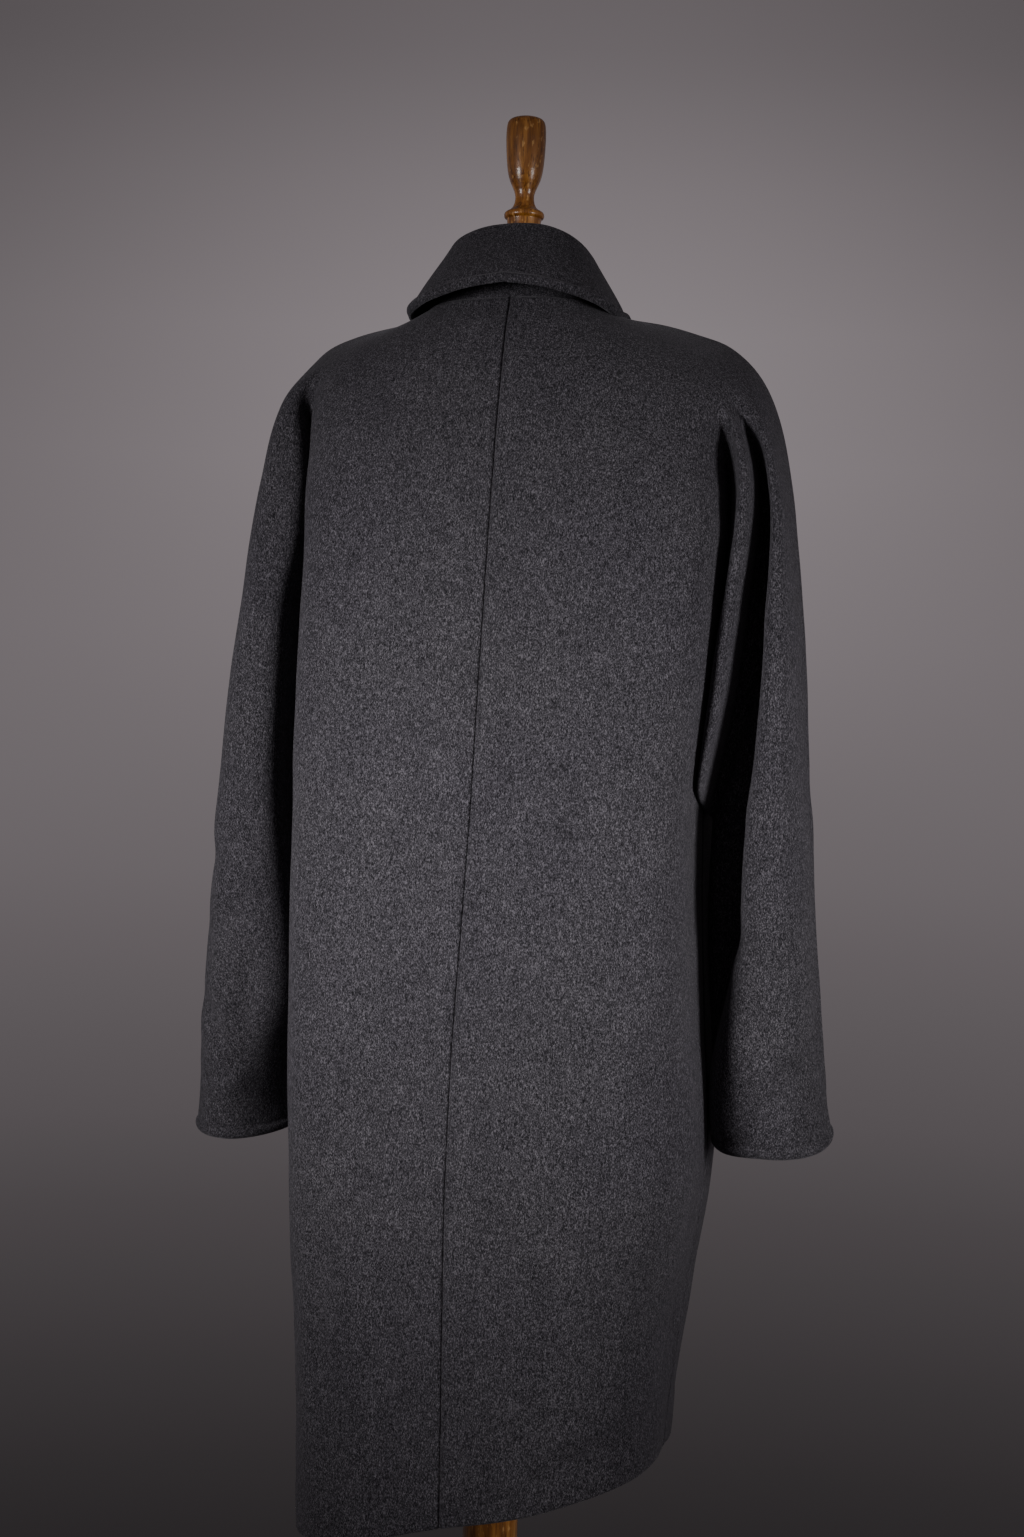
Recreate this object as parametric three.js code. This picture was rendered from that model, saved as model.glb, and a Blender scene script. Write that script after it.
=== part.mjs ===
// Wool overcoat with sleeves cut in one with the body, worn by a limbless dress form on a turned wooden stand.
// Millimetres, +Z up. The wearer faces -Y, the wearer's left is +X, and the stand's underside is at z = 0.
import * as THREE from "three";

// Driving sizes
const CLOTH = 2.4;
const SEAM_GAP = 0.3;
const UNDERARM_Z = 1020;
const HEM_Z = 417;
const HEM_SLANT = 0.25;
const CUFF_Z = { left: 721, right: 736 };
const CUFF_TILT = 0.16;
const ARCH_RISE = 4;
const FRONT_OVERLAP = 28;
const BUTTON_HEIGHTS = [1345, 1205, 1065, 925];
const FORM_CLEARANCE = 0.7;
const NECK_CLEARANCE = 2;
const CLOSING_CLEARANCE = 1;

// Cells across one panel: body, fold between body and sleeve, and sleeve
const BODY_CELLS = 7;
const FOLD_CELLS = 6;
const SLEEVE_CELLS = 6;
const PANEL_CELLS = BODY_CELLS + FOLD_CELLS + SLEEVE_CELLS;
const BODY_ROWS = 9;
const CUFF_ROWS = 7;

// Roundness of the body's and the sleeve's cross-sections
const BODY_POWER = 3;
const SLEEVE_POWER = 2.2;
const YOKE_POWER = 2.6;

// Shares of a yoke row's length taken by its body and fold cells
const YOKE_BODY_SHARE = 0.68;
const YOKE_FOLD_SHARE = 0.1;

function table(names, rows) {
  const keys = names.split(" ");
  return rows.map((row) => Object.fromEntries(keys.map((key, index) => [key, row[index]])));
}

// Rows of a panel from the neck seam (row 0) to the underarm (row 12).
// zBack, zFront, zL, zR: heights at the centre back, centre front and left and right overarm seams.
// left, right: reach of the overarm seams. back, front: depth at the centre. halfL, halfR: the body's half widths.
// armW, armD: the sleeve's half sizes. edge, start: depths where the body's curve ends and the sleeve's begins.
// sag: the valley between them. ridgeL, ridgeR: the soft fold standing in it.
// cutL, cutR: how far the valley divides the row.
const UPPER = table(
  "row zBack zFront zL zR left right back front halfL halfR armW armD edge start sag ridgeL ridgeR cutL cutR",
  [
    [0, 1475, 1410, 1475, 1474, 80, 80, 70, 86, 150, 150, 24, 50, 60, 50, 0, 0, 0, 0, 0],
    [1, 1455, 1400, 1469, 1467, 104, 104, 82, 96, 160, 160, 24, 56, 62, 60, 0, 0, 0, 0, 0],
    [2, 1432, 1388, 1464, 1462, 132, 132, 92, 106, 168, 168, 24, 60, 66, 66, 0, 0, 0, 0, 0],
    [3, 1408, 1374, 1457, 1453, 160, 162, 100, 114, 175, 177, 24, 64, 68, 70, 4, 0, 0, 0, 0],
    [4, 1382, 1356, 1445, 1440, 187, 194, 106, 121, 180, 184, 24, 66, 70, 70, 12, 0, 0, 0.05, 0],
    [5, 1354, 1334, 1420, 1412, 208, 222, 111, 127, 184, 189, 24, 67, 69, 67, 20, 2, 8, 0.45, 0.2],
    [6, 1322, 1306, 1377, 1370, 226, 240, 115, 132, 186, 193, 24, 68, 66, 68, 26, 6, 17, 0.85, 0.7],
    [7, 1286, 1274, 1322, 1316, 238, 250, 119, 136, 187, 195, 24, 68, 61, 68, 30, 9, 25, 1, 1],
    [8, 1244, 1236, 1266, 1260, 248, 257, 122, 139, 187, 195, 25, 69, 55, 66, 30, 10, 27, 1, 1],
    [9, 1194, 1190, 1207, 1202, 255, 263, 126, 141, 186, 194, 28, 71, 47, 60, 25, 8, 24, 1, 1],
    [10, 1138, 1136, 1145, 1142, 261, 267, 130, 143, 184, 191, 33, 73, 36, 49, 17, 4, 16, 1, 1],
    [11, 1072, 1071, 1074, 1073, 268, 271, 134, 145, 181, 187, 39, 74, 21, 31, 8, 0, 7, 1, 1],
    [12, 1020, 1020, 1020, 1020, 273, 275, 137, 146, 178, 183, 44, 74, 0, 0, 0, 0, 0, 1, 1],
  ],
);

// Body below the underarm: down runs from 0 there to 1 at the hem; seam is the centre back seam's drift to the left.
const LOWER = table("down left right back front seam", [
  [0, 178, 183, 137, 146, 0],
  [0.13, 179, 185, 141, 147, 3],
  [0.33, 181, 189, 147, 148, 8],
  [0.52, 181, 190, 150, 149, 10],
  [0.74, 178, 178, 153, 149, 9],
  [0.9, 174, 164, 155, 149, 7],
  [1, 170, 156, 156, 148, 6],
]);

// Sleeve below the underarm: along runs from 0 there to 1 at the cuff; left, right, y: its centre; w, d: its half sizes.
const SLEEVE = table("along left right y w d", [
  [0, 229, 231, 0, 44, 74],
  [0.22, 233, 233, -4, 45, 74],
  [0.45, 240, 237, -12, 46, 72],
  [0.7, 246, 242, -20, 46.5, 69],
  [0.9, 249, 245, -27, 47.5, 65],
  [1, 251, 248, -30, 50, 63],
]);

// Drift of the centre back seam above the underarm, by row
const SEAM_DRIFT = table("row x", [
  [0, -7],
  [4, -8],
  [8, -5],
  [12, 0],
]);

// Smooth value of a table's column between its rows
function valueAt(rows, key, column, at) {
  const last = rows.length - 1;
  let low = 0;
  while (low < last - 1 && rows[low + 1][key] <= at) {
    low += 1;
  }
  const slope = (index) => {
    const before = rows[Math.max(index - 1, 0)];
    const after = rows[Math.min(index + 1, last)];
    return (after[column] - before[column]) / (after[key] - before[key]);
  };
  const span = rows[low + 1][key] - rows[low][key];
  const f = (at - rows[low][key]) / span;
  const start = rows[low][column];
  const end = rows[low + 1][column];
  const ease = f * f * (3 - 2 * f);
  const lift = f * (1 - f) * span * (slope(low) * (1 - f) - slope(low + 1) * f);
  return start + (end - start) * ease + lift;
}

function smoothstep(from, to, at) {
  const f = Math.min(Math.max((at - from) / (to - from), 0), 1);
  return f * f * (3 - 2 * f);
}

function mix(a, b, share) {
  return a + (b - a) * share;
}

// Points spaced evenly along a polyline in plan
function respace(points, cells, from = 0, to = 1) {
  const lengths = [0];
  for (let i = 1; i < points.length; i += 1) {
    lengths.push(lengths[i - 1] + Math.hypot(points[i][0] - points[i - 1][0], points[i][1] - points[i - 1][1]));
  }
  const total = lengths[lengths.length - 1];
  const spaced = [];
  let at = 0;
  for (let i = 0; i <= cells; i += 1) {
    const target = total * mix(from, to, i / cells);
    while (at < points.length - 2 && lengths[at + 1] < target) {
      at += 1;
    }
    const share = (target - lengths[at]) / (lengths[at + 1] - lengths[at]);
    spaced.push([mix(points[at][0], points[at + 1][0], share), mix(points[at][1], points[at + 1][1], share)]);
  }
  return spaced;
}

// Arc of a superellipse in plan; angle 90 is its far back or front, 0 its outer side, 180 its inner side
function roundedArc(centre, half, depth, power, fromDegrees, toDegrees) {
  const steps = 72;
  const points = [];
  for (let i = 0; i <= steps; i += 1) {
    const angle = THREE.MathUtils.degToRad(mix(fromDegrees, toDegrees, i / steps));
    const across = Math.cos(angle);
    const along = Math.max(Math.sin(angle), 0);
    const x = centre[0] + half * Math.sign(across) * Math.abs(across) ** (2 / power);
    const y = centre[1] + depth * along ** (2 / power);
    points.push([x, y]);
  }
  return points;
}

// Angle at which a superellipse arc has a given depth
function angleAtDepth(depth, full, power) {
  const share = Math.min(Math.max(depth / full, 0), 1);
  return THREE.MathUtils.radToDeg(Math.asin(share ** (power / 2)));
}

// Angle just past the centre line at which a front begins its overlap
function startAngle(face, half, power) {
  if (face > 0) {
    return 90;
  }
  return 90 + THREE.MathUtils.radToDeg(Math.asin((FRONT_OVERLAP / half) ** (power / 2)));
}

function bodyArc(face, half, depth, power, edge) {
  return roundedArc([0, 0], half, depth, power, startAngle(face, half, power), angleAtDepth(edge, depth, power));
}

// Valley between body and sleeve, with the soft ridge that stands in it
function valley(from, to, sag, ridge, cells) {
  const points = [];
  for (let i = 0; i <= cells; i += 1) {
    const s = i / cells;
    const hollow = sag * Math.sin(Math.PI * s) ** 0.7;
    const crest = ridge * Math.exp(-(((s - 0.5) / 0.17) ** 2));
    points.push([mix(from[0], to[0], s), mix(from[1], to[1], s) - hollow + crest]);
  }
  return points;
}

// Undivided outline of a row above the underarm, from the centre to the overarm seam
function yokeArc(side, face, row) {
  const at = (column) => valueAt(UPPER, "row", column, row);
  const depth = face > 0 ? at("back") : at("front");
  const reach = side > 0 ? at("left") : at("right");
  return roundedArc([0, 0], reach, depth, YOKE_POWER, startAngle(face, reach, YOKE_POWER), 0);
}

// Share of a yoke row's length at which each column of a panel lies
function columnShare(column) {
  if (column <= BODY_CELLS) {
    return (YOKE_BODY_SHARE * column) / BODY_CELLS;
  }
  if (column <= BODY_CELLS + FOLD_CELLS) {
    return YOKE_BODY_SHARE + (YOKE_FOLD_SHARE * (column - BODY_CELLS)) / FOLD_CELLS;
  }
  const beyond = 1 - YOKE_BODY_SHARE - YOKE_FOLD_SHARE;
  return 1 - (beyond * (PANEL_CELLS - column)) / SLEEVE_CELLS;
}

// Height along a row above the underarm, alike on both sides of the centre line where the fronts overlap
function rowHeight(side, face, row, column, length) {
  const at = (name) => valueAt(UPPER, "row", name, row);
  const centre = face > 0 ? 0 : FRONT_OVERLAP / length;
  const share = Math.abs(columnShare(column) - centre) / (1 - centre);
  const rise = face > 0 ? Math.max((share - 0.25) / 0.75, 0) ** 1.7 : share ** 1.5;
  return mix(face > 0 ? at("zBack") : at("zFront"), side > 0 ? at("zL") : at("zR"), rise);
}

function polylineLength(points) {
  let length = 0;
  for (let i = 1; i < points.length; i += 1) {
    length += Math.hypot(points[i][0] - points[i - 1][0], points[i][1] - points[i - 1][1]);
  }
  return length;
}

// One row of a panel above the underarm, as points [x out from the centre, y out from the side plane, z]
function upperRow(side, face, row) {
  const at = (column) => valueAt(UPPER, "row", column, row);
  const depth = face > 0 ? at("back") : at("front");
  const reach = side > 0 ? at("left") : at("right");
  const ridge = side > 0 ? at("ridgeL") : at("ridgeR");
  const half = side > 0 ? at("halfL") : at("halfR");
  const cut = Math.min(Math.max(side > 0 ? at("cutL") : at("cutR"), 0), 1);

  const whole = yokeArc(side, face, row);
  const length = polylineLength(whole);
  const foldFrom = YOKE_BODY_SHARE;
  const foldTo = YOKE_BODY_SHARE + YOKE_FOLD_SHARE;
  const plain = [
    ...respace(whole, BODY_CELLS, 0, foldFrom),
    ...respace(whole, FOLD_CELLS, foldFrom, foldTo).slice(1),
    ...respace(whole, SLEEVE_CELLS, foldTo, 1).slice(1),
  ];

  const body = respace(bodyArc(face, half, depth, BODY_POWER, at("edge")), BODY_CELLS);
  const startDegrees = 180 - angleAtDepth(at("start"), at("armD"), SLEEVE_POWER);
  const sleeveArc = roundedArc([reach - at("armW"), 0], at("armW"), at("armD"), SLEEVE_POWER, startDegrees, 0);
  const sleeve = respace(sleeveArc, SLEEVE_CELLS);
  const fold = valley(body[BODY_CELLS], sleeve[0], at("sag"), ridge, FOLD_CELLS);
  const divided = [...body, ...fold.slice(1), ...sleeve.slice(1)];

  const drift = face > 0 ? side * valueAt(SEAM_DRIFT, "row", "x", row) : 0;
  return plain.map(([px, py], column) => {
    const [dx, dy] = divided[column];
    const x = mix(px, dx, cut);
    const pull = drift * Math.max(1 - x / reach, 0);
    return [x + pull, mix(py, dy, cut), rowHeight(side, face, row, column, length)];
  });
}

function lowerRow(side, face, down) {
  const at = (column) => valueAt(LOWER, "down", column, down);
  const half = side > 0 ? at("left") : at("right");
  const depth = face > 0 ? at("back") : at("front");
  const drift = face > 0 ? side * at("seam") : 0;
  return respace(bodyArc(face, half, depth, BODY_POWER, 0), BODY_CELLS).map(([x, y]) => {
    const z = mix(UNDERARM_Z, HEM_Z - HEM_SLANT * side * x, down);
    return [x + drift * Math.max(1 - x / half, 0), y, z];
  });
}

function sleeveRow(side, face, along) {
  const at = (column) => valueAt(SLEEVE, "along", column, along);
  const x = side > 0 ? at("left") : at("right");
  const y = at("y");
  const cuff = side > 0 ? CUFF_Z.left : CUFF_Z.right;
  const arc = roundedArc([x, face * y], at("w"), at("d"), SLEEVE_POWER, 180, 0);
  return respace(arc, SLEEVE_CELLS).map(([px, py]) => {
    const z = mix(UNDERARM_Z, cuff - CUFF_TILT * (face * py - y), along);
    return [px, py, z];
  });
}

// Outward direction at each point of a patch of quads; flats names the axis a seam's edge is square to
function patchNormals(vectors, quads, flats) {
  const normals = vectors.map(() => new THREE.Vector3());
  for (const [a, b, c, d] of quads) {
    const across = vectors[c].clone().sub(vectors[a]);
    const normal = across.cross(vectors[d].clone().sub(vectors[b]));
    [a, b, c, d].forEach((index) => normals[index].add(normal));
  }
  normals.forEach((normal, index) => {
    if (flats[index]) {
      normal.setComponent(flats[index] === "x" ? 0 : 1, 0);
    }
    normal.normalize();
  });
  return normals;
}

// Closed wall from a patch of quads: its points moved in by one depth and by another, with a rim between
function wallGeometry({ vectors, quads, flats }, from, to) {
  const normals = patchNormals(vectors, quads, flats);
  const outer = vectors.map((point, index) => point.clone().addScaledVector(normals[index], -from));
  const inner = vectors.map((point, index) => point.clone().addScaledVector(normals[index], -to));
  const count = vectors.length;
  const triangles = [];
  const edges = new Map();
  for (const [a, b, c, d] of quads) {
    triangles.push([a, b, c], [a, c, d]);
    triangles.push([a + count, c + count, b + count], [a + count, d + count, c + count]);
    for (const [start, end] of [[a, b], [b, c], [c, d], [d, a]]) {
      const reverse = `${end},${start}`;
      if (edges.has(reverse)) {
        edges.delete(reverse);
      } else {
        edges.set(`${start},${end}`, [start, end]);
      }
    }
  }
  for (const [start, end] of edges.values()) {
    triangles.push([start, start + count, end + count], [start, end + count, end]);
  }
  return solidGeometry([...outer, ...inner], triangles);
}

function solidGeometry(vectors, triangles) {
  const geometry = new THREE.BufferGeometry();
  const positions = vectors.flatMap((point) => [point.x, point.y, point.z]);
  geometry.setAttribute("position", new THREE.Float32BufferAttribute(positions, 3));
  geometry.setIndex(triangles.flat());
  return geometry;
}

const UPPER_ROWS = [0, 1, 2, 3, 4, 5, 6, 7, 8, 9, 10, 11, 11.6, 12];

// The closing: the right front lies over the left, stepped out by the cloth it covers
function overlapStep(side, face, x, z) {
  if (face > 0 || side > 0) {
    return 0;
  }
  const slope = 1 + 1.1 * smoothstep(1250, 1390, z);
  return (CLOTH + 3 * SEAM_GAP) * slope * (1 - smoothstep(FRONT_OVERLAP + 24, FRONT_OVERLAP + 90, x));
}

// Patch of one of the four panels; side 1 is the wearer's left, face 1 the back
function panel(side, face) {
  const vectors = [];
  const flats = [];
  const half = SEAM_GAP / 2;
  const place = ([x, y, z], flat) => {
    const step = overlapStep(side, face, x, z);
    const shiftX = flat === "x" && face > 0 ? half : 0;
    const shiftY = flat === "y" ? half : 0;
    vectors.push(new THREE.Vector3(side * (x + shiftX), face * (y + shiftY + step), z));
    flats.push(flat);
    return vectors.length - 1;
  };
  const centreFlat = face > 0 ? "x" : "";
  const grid = UPPER_ROWS.map((row) => {
    const lowest = row === UPPER_ROWS[UPPER_ROWS.length - 1];
    return upperRow(side, face, row).map(([x, y, z], column) => {
      const inFold = column >= BODY_CELLS && column <= BODY_CELLS + FOLD_CELLS;
      const arch = lowest && inFold ? ARCH_RISE * Math.sin((Math.PI * (column - BODY_CELLS)) / FOLD_CELLS) : 0;
      const onSeam = column === PANEL_CELLS || (lowest && inFold);
      const flat = column === 0 ? centreFlat : onSeam ? "y" : "";
      return place([x, y, z + arch], flat);
    });
  });
  const underarm = grid[grid.length - 1];

  const bodyGrid = [underarm.slice(0, BODY_CELLS + 1)];
  for (let i = 1; i <= BODY_ROWS; i += 1) {
    const row = lowerRow(side, face, i / BODY_ROWS);
    bodyGrid.push(row.map((point, column) => place(point, column === 0 ? centreFlat : column === BODY_CELLS ? "y" : "")));
  }
  const sleeveGrid = [underarm.slice(BODY_CELLS + FOLD_CELLS)];
  for (let i = 1; i <= CUFF_ROWS; i += 1) {
    const row = sleeveRow(side, face, i / CUFF_ROWS);
    sleeveGrid.push(row.map((point, column) => place(point, column === 0 || column === SLEEVE_CELLS ? "y" : "")));
  }

  const quads = [];
  for (const rows of [grid, bodyGrid, sleeveGrid]) {
    for (let i = 0; i + 1 < rows.length; i += 1) {
      for (let j = 0; j + 1 < rows[i].length; j += 1) {
        const quad = [rows[i][j], rows[i + 1][j], rows[i + 1][j + 1], rows[i][j + 1]];
        quads.push(side * face > 0 ? [quad[0], quad[3], quad[2], quad[1]] : quad);
      }
    }
  }
  const closing = [...grid, ...bodyGrid.slice(1)].map((row) => [row[0], row[1]]);
  return { vectors, quads, flats, closing };
}

// Collar, by place around the neck: 0 at the centre back, 0.5 at the shoulder seams, 1 at the centre front.
// fold: its fold's height above the neck seam; lean: how far the stand leans in.
// out, up: the outer edge from the neck seam; spread: how far the front corner swings aside.
const COLLAR = table("place fold lean out up spread", [
  [0, 70, 17, 31, 6, 0],
  [0.22, 67, 17, 30, -1, 0],
  [0.38, 61, 16, 27, -4, 0],
  [0.5, 56, 15, 25, -1, 0],
  [0.65, 51, 11, 34, -4, 1],
  [0.8, 46, 8, 41, -16, 7],
  [1, 40, 5, 45, -41, 34],
]);
const STAND_CELLS = 3;
const ROLL_CELLS = 4;
const FALL_CELLS = 3;
const ROLL_RADIUS = 6.5;
const COLLAR_FOOT = 2.5;
const TOP_COLLAR = 2;
const UNDER_COLLAR = 1.7;
const COLLAR_DEPTH = TOP_COLLAR + SEAM_GAP + UNDER_COLLAR;
const COLLAR_BACK_COLUMNS = [0, 2, 4, 6, 9, 13, 16, 19];
const COLLAR_FRONT_COLUMNS = [2, 4, 6, 9, 13, 16, 19];

// The collar's seam points on one panel's neck edge: each with its place, outward normal and way into the neck
function neckSeam(patch, side, face) {
  const normals = patchNormals(patch.vectors, patch.quads, patch.flats);
  const columns = face > 0 ? COLLAR_BACK_COLUMNS : COLLAR_FRONT_COLUMNS;
  const first = columnShare(columns[0]);
  return columns.map((column) => {
    const share = (columnShare(column) - first) / (1 - first);
    const before = patch.vectors[Math.max(column - 1, 0)];
    const after = patch.vectors[Math.min(column + 1, PANEL_CELLS)];
    const along = after.clone().sub(before);
    if (patch.flats[column]) {
      along.setComponent(patch.flats[column] === "x" ? 1 : 0, 0);
    }
    const inward = normals[column].clone().cross(along).multiplyScalar(-side * face).normalize();
    const place = side * (face > 0 ? share / 2 : 1 - share / 2);
    const radial = new THREE.Vector3(along.y, -along.x, 0).multiplyScalar(-side * face).normalize();
    return { place, point: patch.vectors[column], inward, outward: normals[column], radial };
  });
}

function bezier(a, b, c, d, cells) {
  const curve = new THREE.CubicBezierCurve(a, b, c, d);
  return curve.getPoints(cells);
}

// Section of the collar's upper skin above its seam, from the foot of the stand: up, over the roll and down the fall
function collarSection(place, foot, inward) {
  const at = (column) => valueAt(COLLAR, "place", column, Math.abs(place));
  const rollIn = new THREE.Vector2(-at("lean") - ROLL_RADIUS, at("fold") - ROLL_RADIUS);
  const rise = new THREE.Vector2(0, 0.4 * at("fold"));
  const stand = bezier(foot, foot.clone().addScaledVector(inward, 6), rollIn.clone().sub(rise), rollIn, STAND_CELLS);
  const centre = rollIn.clone().add(new THREE.Vector2(ROLL_RADIUS, 0));
  const roll = [];
  const rollEnd = THREE.MathUtils.degToRad(30);
  for (let i = 1; i <= ROLL_CELLS; i += 1) {
    const angle = mix(Math.PI, rollEnd, i / ROLL_CELLS);
    roll.push(new THREE.Vector2(Math.cos(angle), Math.sin(angle)).multiplyScalar(ROLL_RADIUS).add(centre));
  }
  const last = roll[ROLL_CELLS - 1];
  const edge = new THREE.Vector2(at("out"), at("up"));
  const reach = 0.35 * last.distanceTo(edge);
  const leave = new THREE.Vector2(Math.sin(rollEnd), -Math.cos(rollEnd)).multiplyScalar(reach);
  const arrive = new THREE.Vector2(-0.45, 0.9).multiplyScalar(reach);
  const fall = bezier(last, last.clone().add(leave), edge.clone().add(arrive), edge, FALL_CELLS);
  return [...stand, ...roll, ...fall.slice(1)];
}

// The collar's upper skin, from the right front round the back to the left front
function collarSkin({ backLeft, backRight, frontLeft, frontRight }) {
  const seam = [
    ...neckSeam(frontRight, -1, -1),
    ...neckSeam(backRight, -1, 1).reverse().slice(1),
    ...neckSeam(backLeft, 1, 1).slice(1),
    ...neckSeam(frontLeft, 1, -1).reverse().slice(1),
  ];
  const vectors = [];
  const quads = [];
  const across = STAND_CELLS + ROLL_CELLS + FALL_CELLS + 2;
  seam.forEach(({ place, point, inward, outward, radial }) => {
    const spread = valueAt(COLLAR, "place", "spread", Math.abs(place));
    const flat = (vector) => new THREE.Vector2(vector.dot(radial), vector.z);
    const base = point.clone().addScaledVector(inward, SEAM_GAP).addScaledVector(outward, -COLLAR_DEPTH);
    const foot = base.clone().addScaledVector(inward, COLLAR_FOOT);
    vectors.push(base);
    collarSection(place, flat(foot.clone().sub(point)), flat(inward).normalize()).forEach((offset, j) => {
      const fallen = Math.max((j - STAND_CELLS - ROLL_CELLS) / FALL_CELLS, 0);
      const position = point.clone().addScaledVector(radial, offset.x);
      position.z += offset.y;
      position.x += Math.sign(place) * spread * fallen;
      vectors.push(j === 0 ? foot : position);
    });
  });
  for (let i = 0; i + 1 < seam.length; i += 1) {
    for (let j = 0; j + 1 < across; j += 1) {
      const corner = i * across + j;
      quads.push([corner, corner + across, corner + across + 1, corner + 1]);
    }
  }
  return { vectors, quads, flats: [] };
}

// Dress form: rings from the neck's top down; rows of the cloth at the yoke carry it, and a table shapes the rest
const FORM_NECK = table("z zFront half back front", [
  [1520, 1520, 53, 43, 50],
  [1506, 1490, 53, 44, 52],
  [1491, 1440, 56, 50, 60],
]);
const FORM_BODY = table("z zFront half back front", [
  [1345, 1345, 171, 92, 104],
  [1290, 1290, 160, 92, 112],
  [1220, 1220, 152, 90, 120],
  [1130, 1130, 132, 84, 100],
  [1060, 1060, 126, 84, 92],
  [980, 980, 142, 100, 100],
  [900, 900, 160, 114, 108],
  [840, 840, 163, 114, 108],
  [800, 800, 158, 108, 103],
  [790, 790, 146, 96, 92],
]);
const FORM_BACK_COLUMNS = [0, 1, 2, 3, 4, 5, 6, 7, 13, 14, 15, 16, 17, 18, 19];
const FORM_FRONT_COLUMNS = [2, 3, 4, 5, 6, 7, 13, 14, 15, 16, 17, 18, 19];
const FORM_POWER = 2.3;
const YOKE_ROWS = [0, 1, 2, 3];
const FORM_SHOULDER = 0.55;

// Ring of the form under one row of the cloth, its vertices straight behind the cloth's own
function formRingUnderCloth(row, nextRow, share) {
  const ring = [];
  const quarter = (side, face) => {
    const rowAt = (at) => upperRow(side, face, at).map(([x, y, z]) => new THREE.Vector3(side * x, face * y, z));
    const here = rowAt(row);
    const next = rowAt(nextRow);
    const beyond = rowAt(Math.max(row - 1, 0) === row ? row + 1 : row - 1);
    const sign = row === 0 ? -1 : 1;
    const columns = face > 0 ? FORM_BACK_COLUMNS : FORM_FRONT_COLUMNS;
    return columns.map((column) => {
      const before = here[Math.max(column - 1, 0)];
      const after = here[Math.min(column + 1, PANEL_CELLS)];
      const down = here[column].clone().sub(beyond[column]).multiplyScalar(sign);
      const normal = down.cross(after.clone().sub(before)).multiplyScalar(-side * face).normalize();
      if (column === PANEL_CELLS) {
        normal.setY(0).normalize();
      }
      const point = here[column].clone().lerp(next[column], share);
      if (column === columns[0]) {
        normal.setX(0).normalize();
        point.x = 0;
      }
      const depth = row === 0 ? COLLAR_DEPTH + NECK_CLEARANCE : CLOTH;
      const closing = face < 0 && point.x * side < FRONT_OVERLAP ? CLOSING_CLEARANCE : 0;
      return point.addScaledVector(normal, -(depth + FORM_CLEARANCE + closing));
    });
  };
  const [backLeft, frontLeft] = [quarter(1, 1), quarter(1, -1)];
  const [backRight, frontRight] = [quarter(-1, 1), quarter(-1, -1)];
  ring.push(...backLeft, ...frontLeft.reverse().slice(1));
  ring.push(...frontRight.slice(1), ...backRight.reverse().slice(1, -1));
  return ring;
}

function formRing({ z, zFront, half, back, front }) {
  const quarter = (side, face) => {
    const cells = (face > 0 ? FORM_BACK_COLUMNS : FORM_FRONT_COLUMNS).length - 1;
    const depth = face > 0 ? back : front;
    const arc = respace(roundedArc([0, 0], half, depth, FORM_POWER, 90, 0), cells);
    const height = (share) => (face > 0 ? z : mix(zFront, z, share ** 1.5));
    return arc.map(([x, y], column) => new THREE.Vector3(side * x, face * y, height(column / cells)));
  };
  return [
    ...quarter(1, 1),
    ...quarter(1, -1).reverse().slice(1),
    ...quarter(-1, -1).slice(1),
    ...quarter(-1, 1).reverse().slice(1, -1),
  ];
}

// Closed solid through a stack of rings that turn clockwise seen from above, the first ring on top.
// mirrored tells at which places round the ring the faces are split the other way.
function loftGeometry(rings, mirrored) {
  const around = rings[0].length;
  const vectors = rings.flat();
  const triangles = [];
  for (let i = 0; i + 1 < rings.length; i += 1) {
    for (let j = 0; j < around; j += 1) {
      const a = i * around + j;
      const b = i * around + ((j + 1) % around);
      if (mirrored(j)) {
        triangles.push([a, b, a + around], [b, b + around, a + around]);
      } else {
        triangles.push([a, b, b + around], [a, b + around, a + around]);
      }
    }
  }
  const middle = (ring) => ring.reduce((sum, point) => sum.add(point), new THREE.Vector3()).divideScalar(around);
  vectors.push(middle(rings[0]), middle(rings[rings.length - 1]));
  const top = vectors.length - 2;
  const last = (rings.length - 1) * around;
  for (let j = 0; j < around; j += 1) {
    const next = (j + 1) % around;
    triangles.push([top, next, j], [top + 1, last + j, last + next]);
  }
  return solidGeometry(vectors, triangles);
}

function formTorso() {
  const neck = FORM_NECK.map(formRing);
  const yoke = YOKE_ROWS.map((row) => formRingUnderCloth(row, row, 0));
  const shoulder = formRingUnderCloth(3, 4, FORM_SHOULDER);
  const backCells = FORM_BACK_COLUMNS.length - 1;
  const frontCells = FORM_FRONT_COLUMNS.length - 1;
  const mirrored = (j) => (j >= backCells && j < backCells + frontCells) || j >= backCells + 2 * frontCells;
  return loftGeometry([...neck, ...yoke, shoulder, ...FORM_BODY.map(formRing)], mirrored);
}

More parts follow.
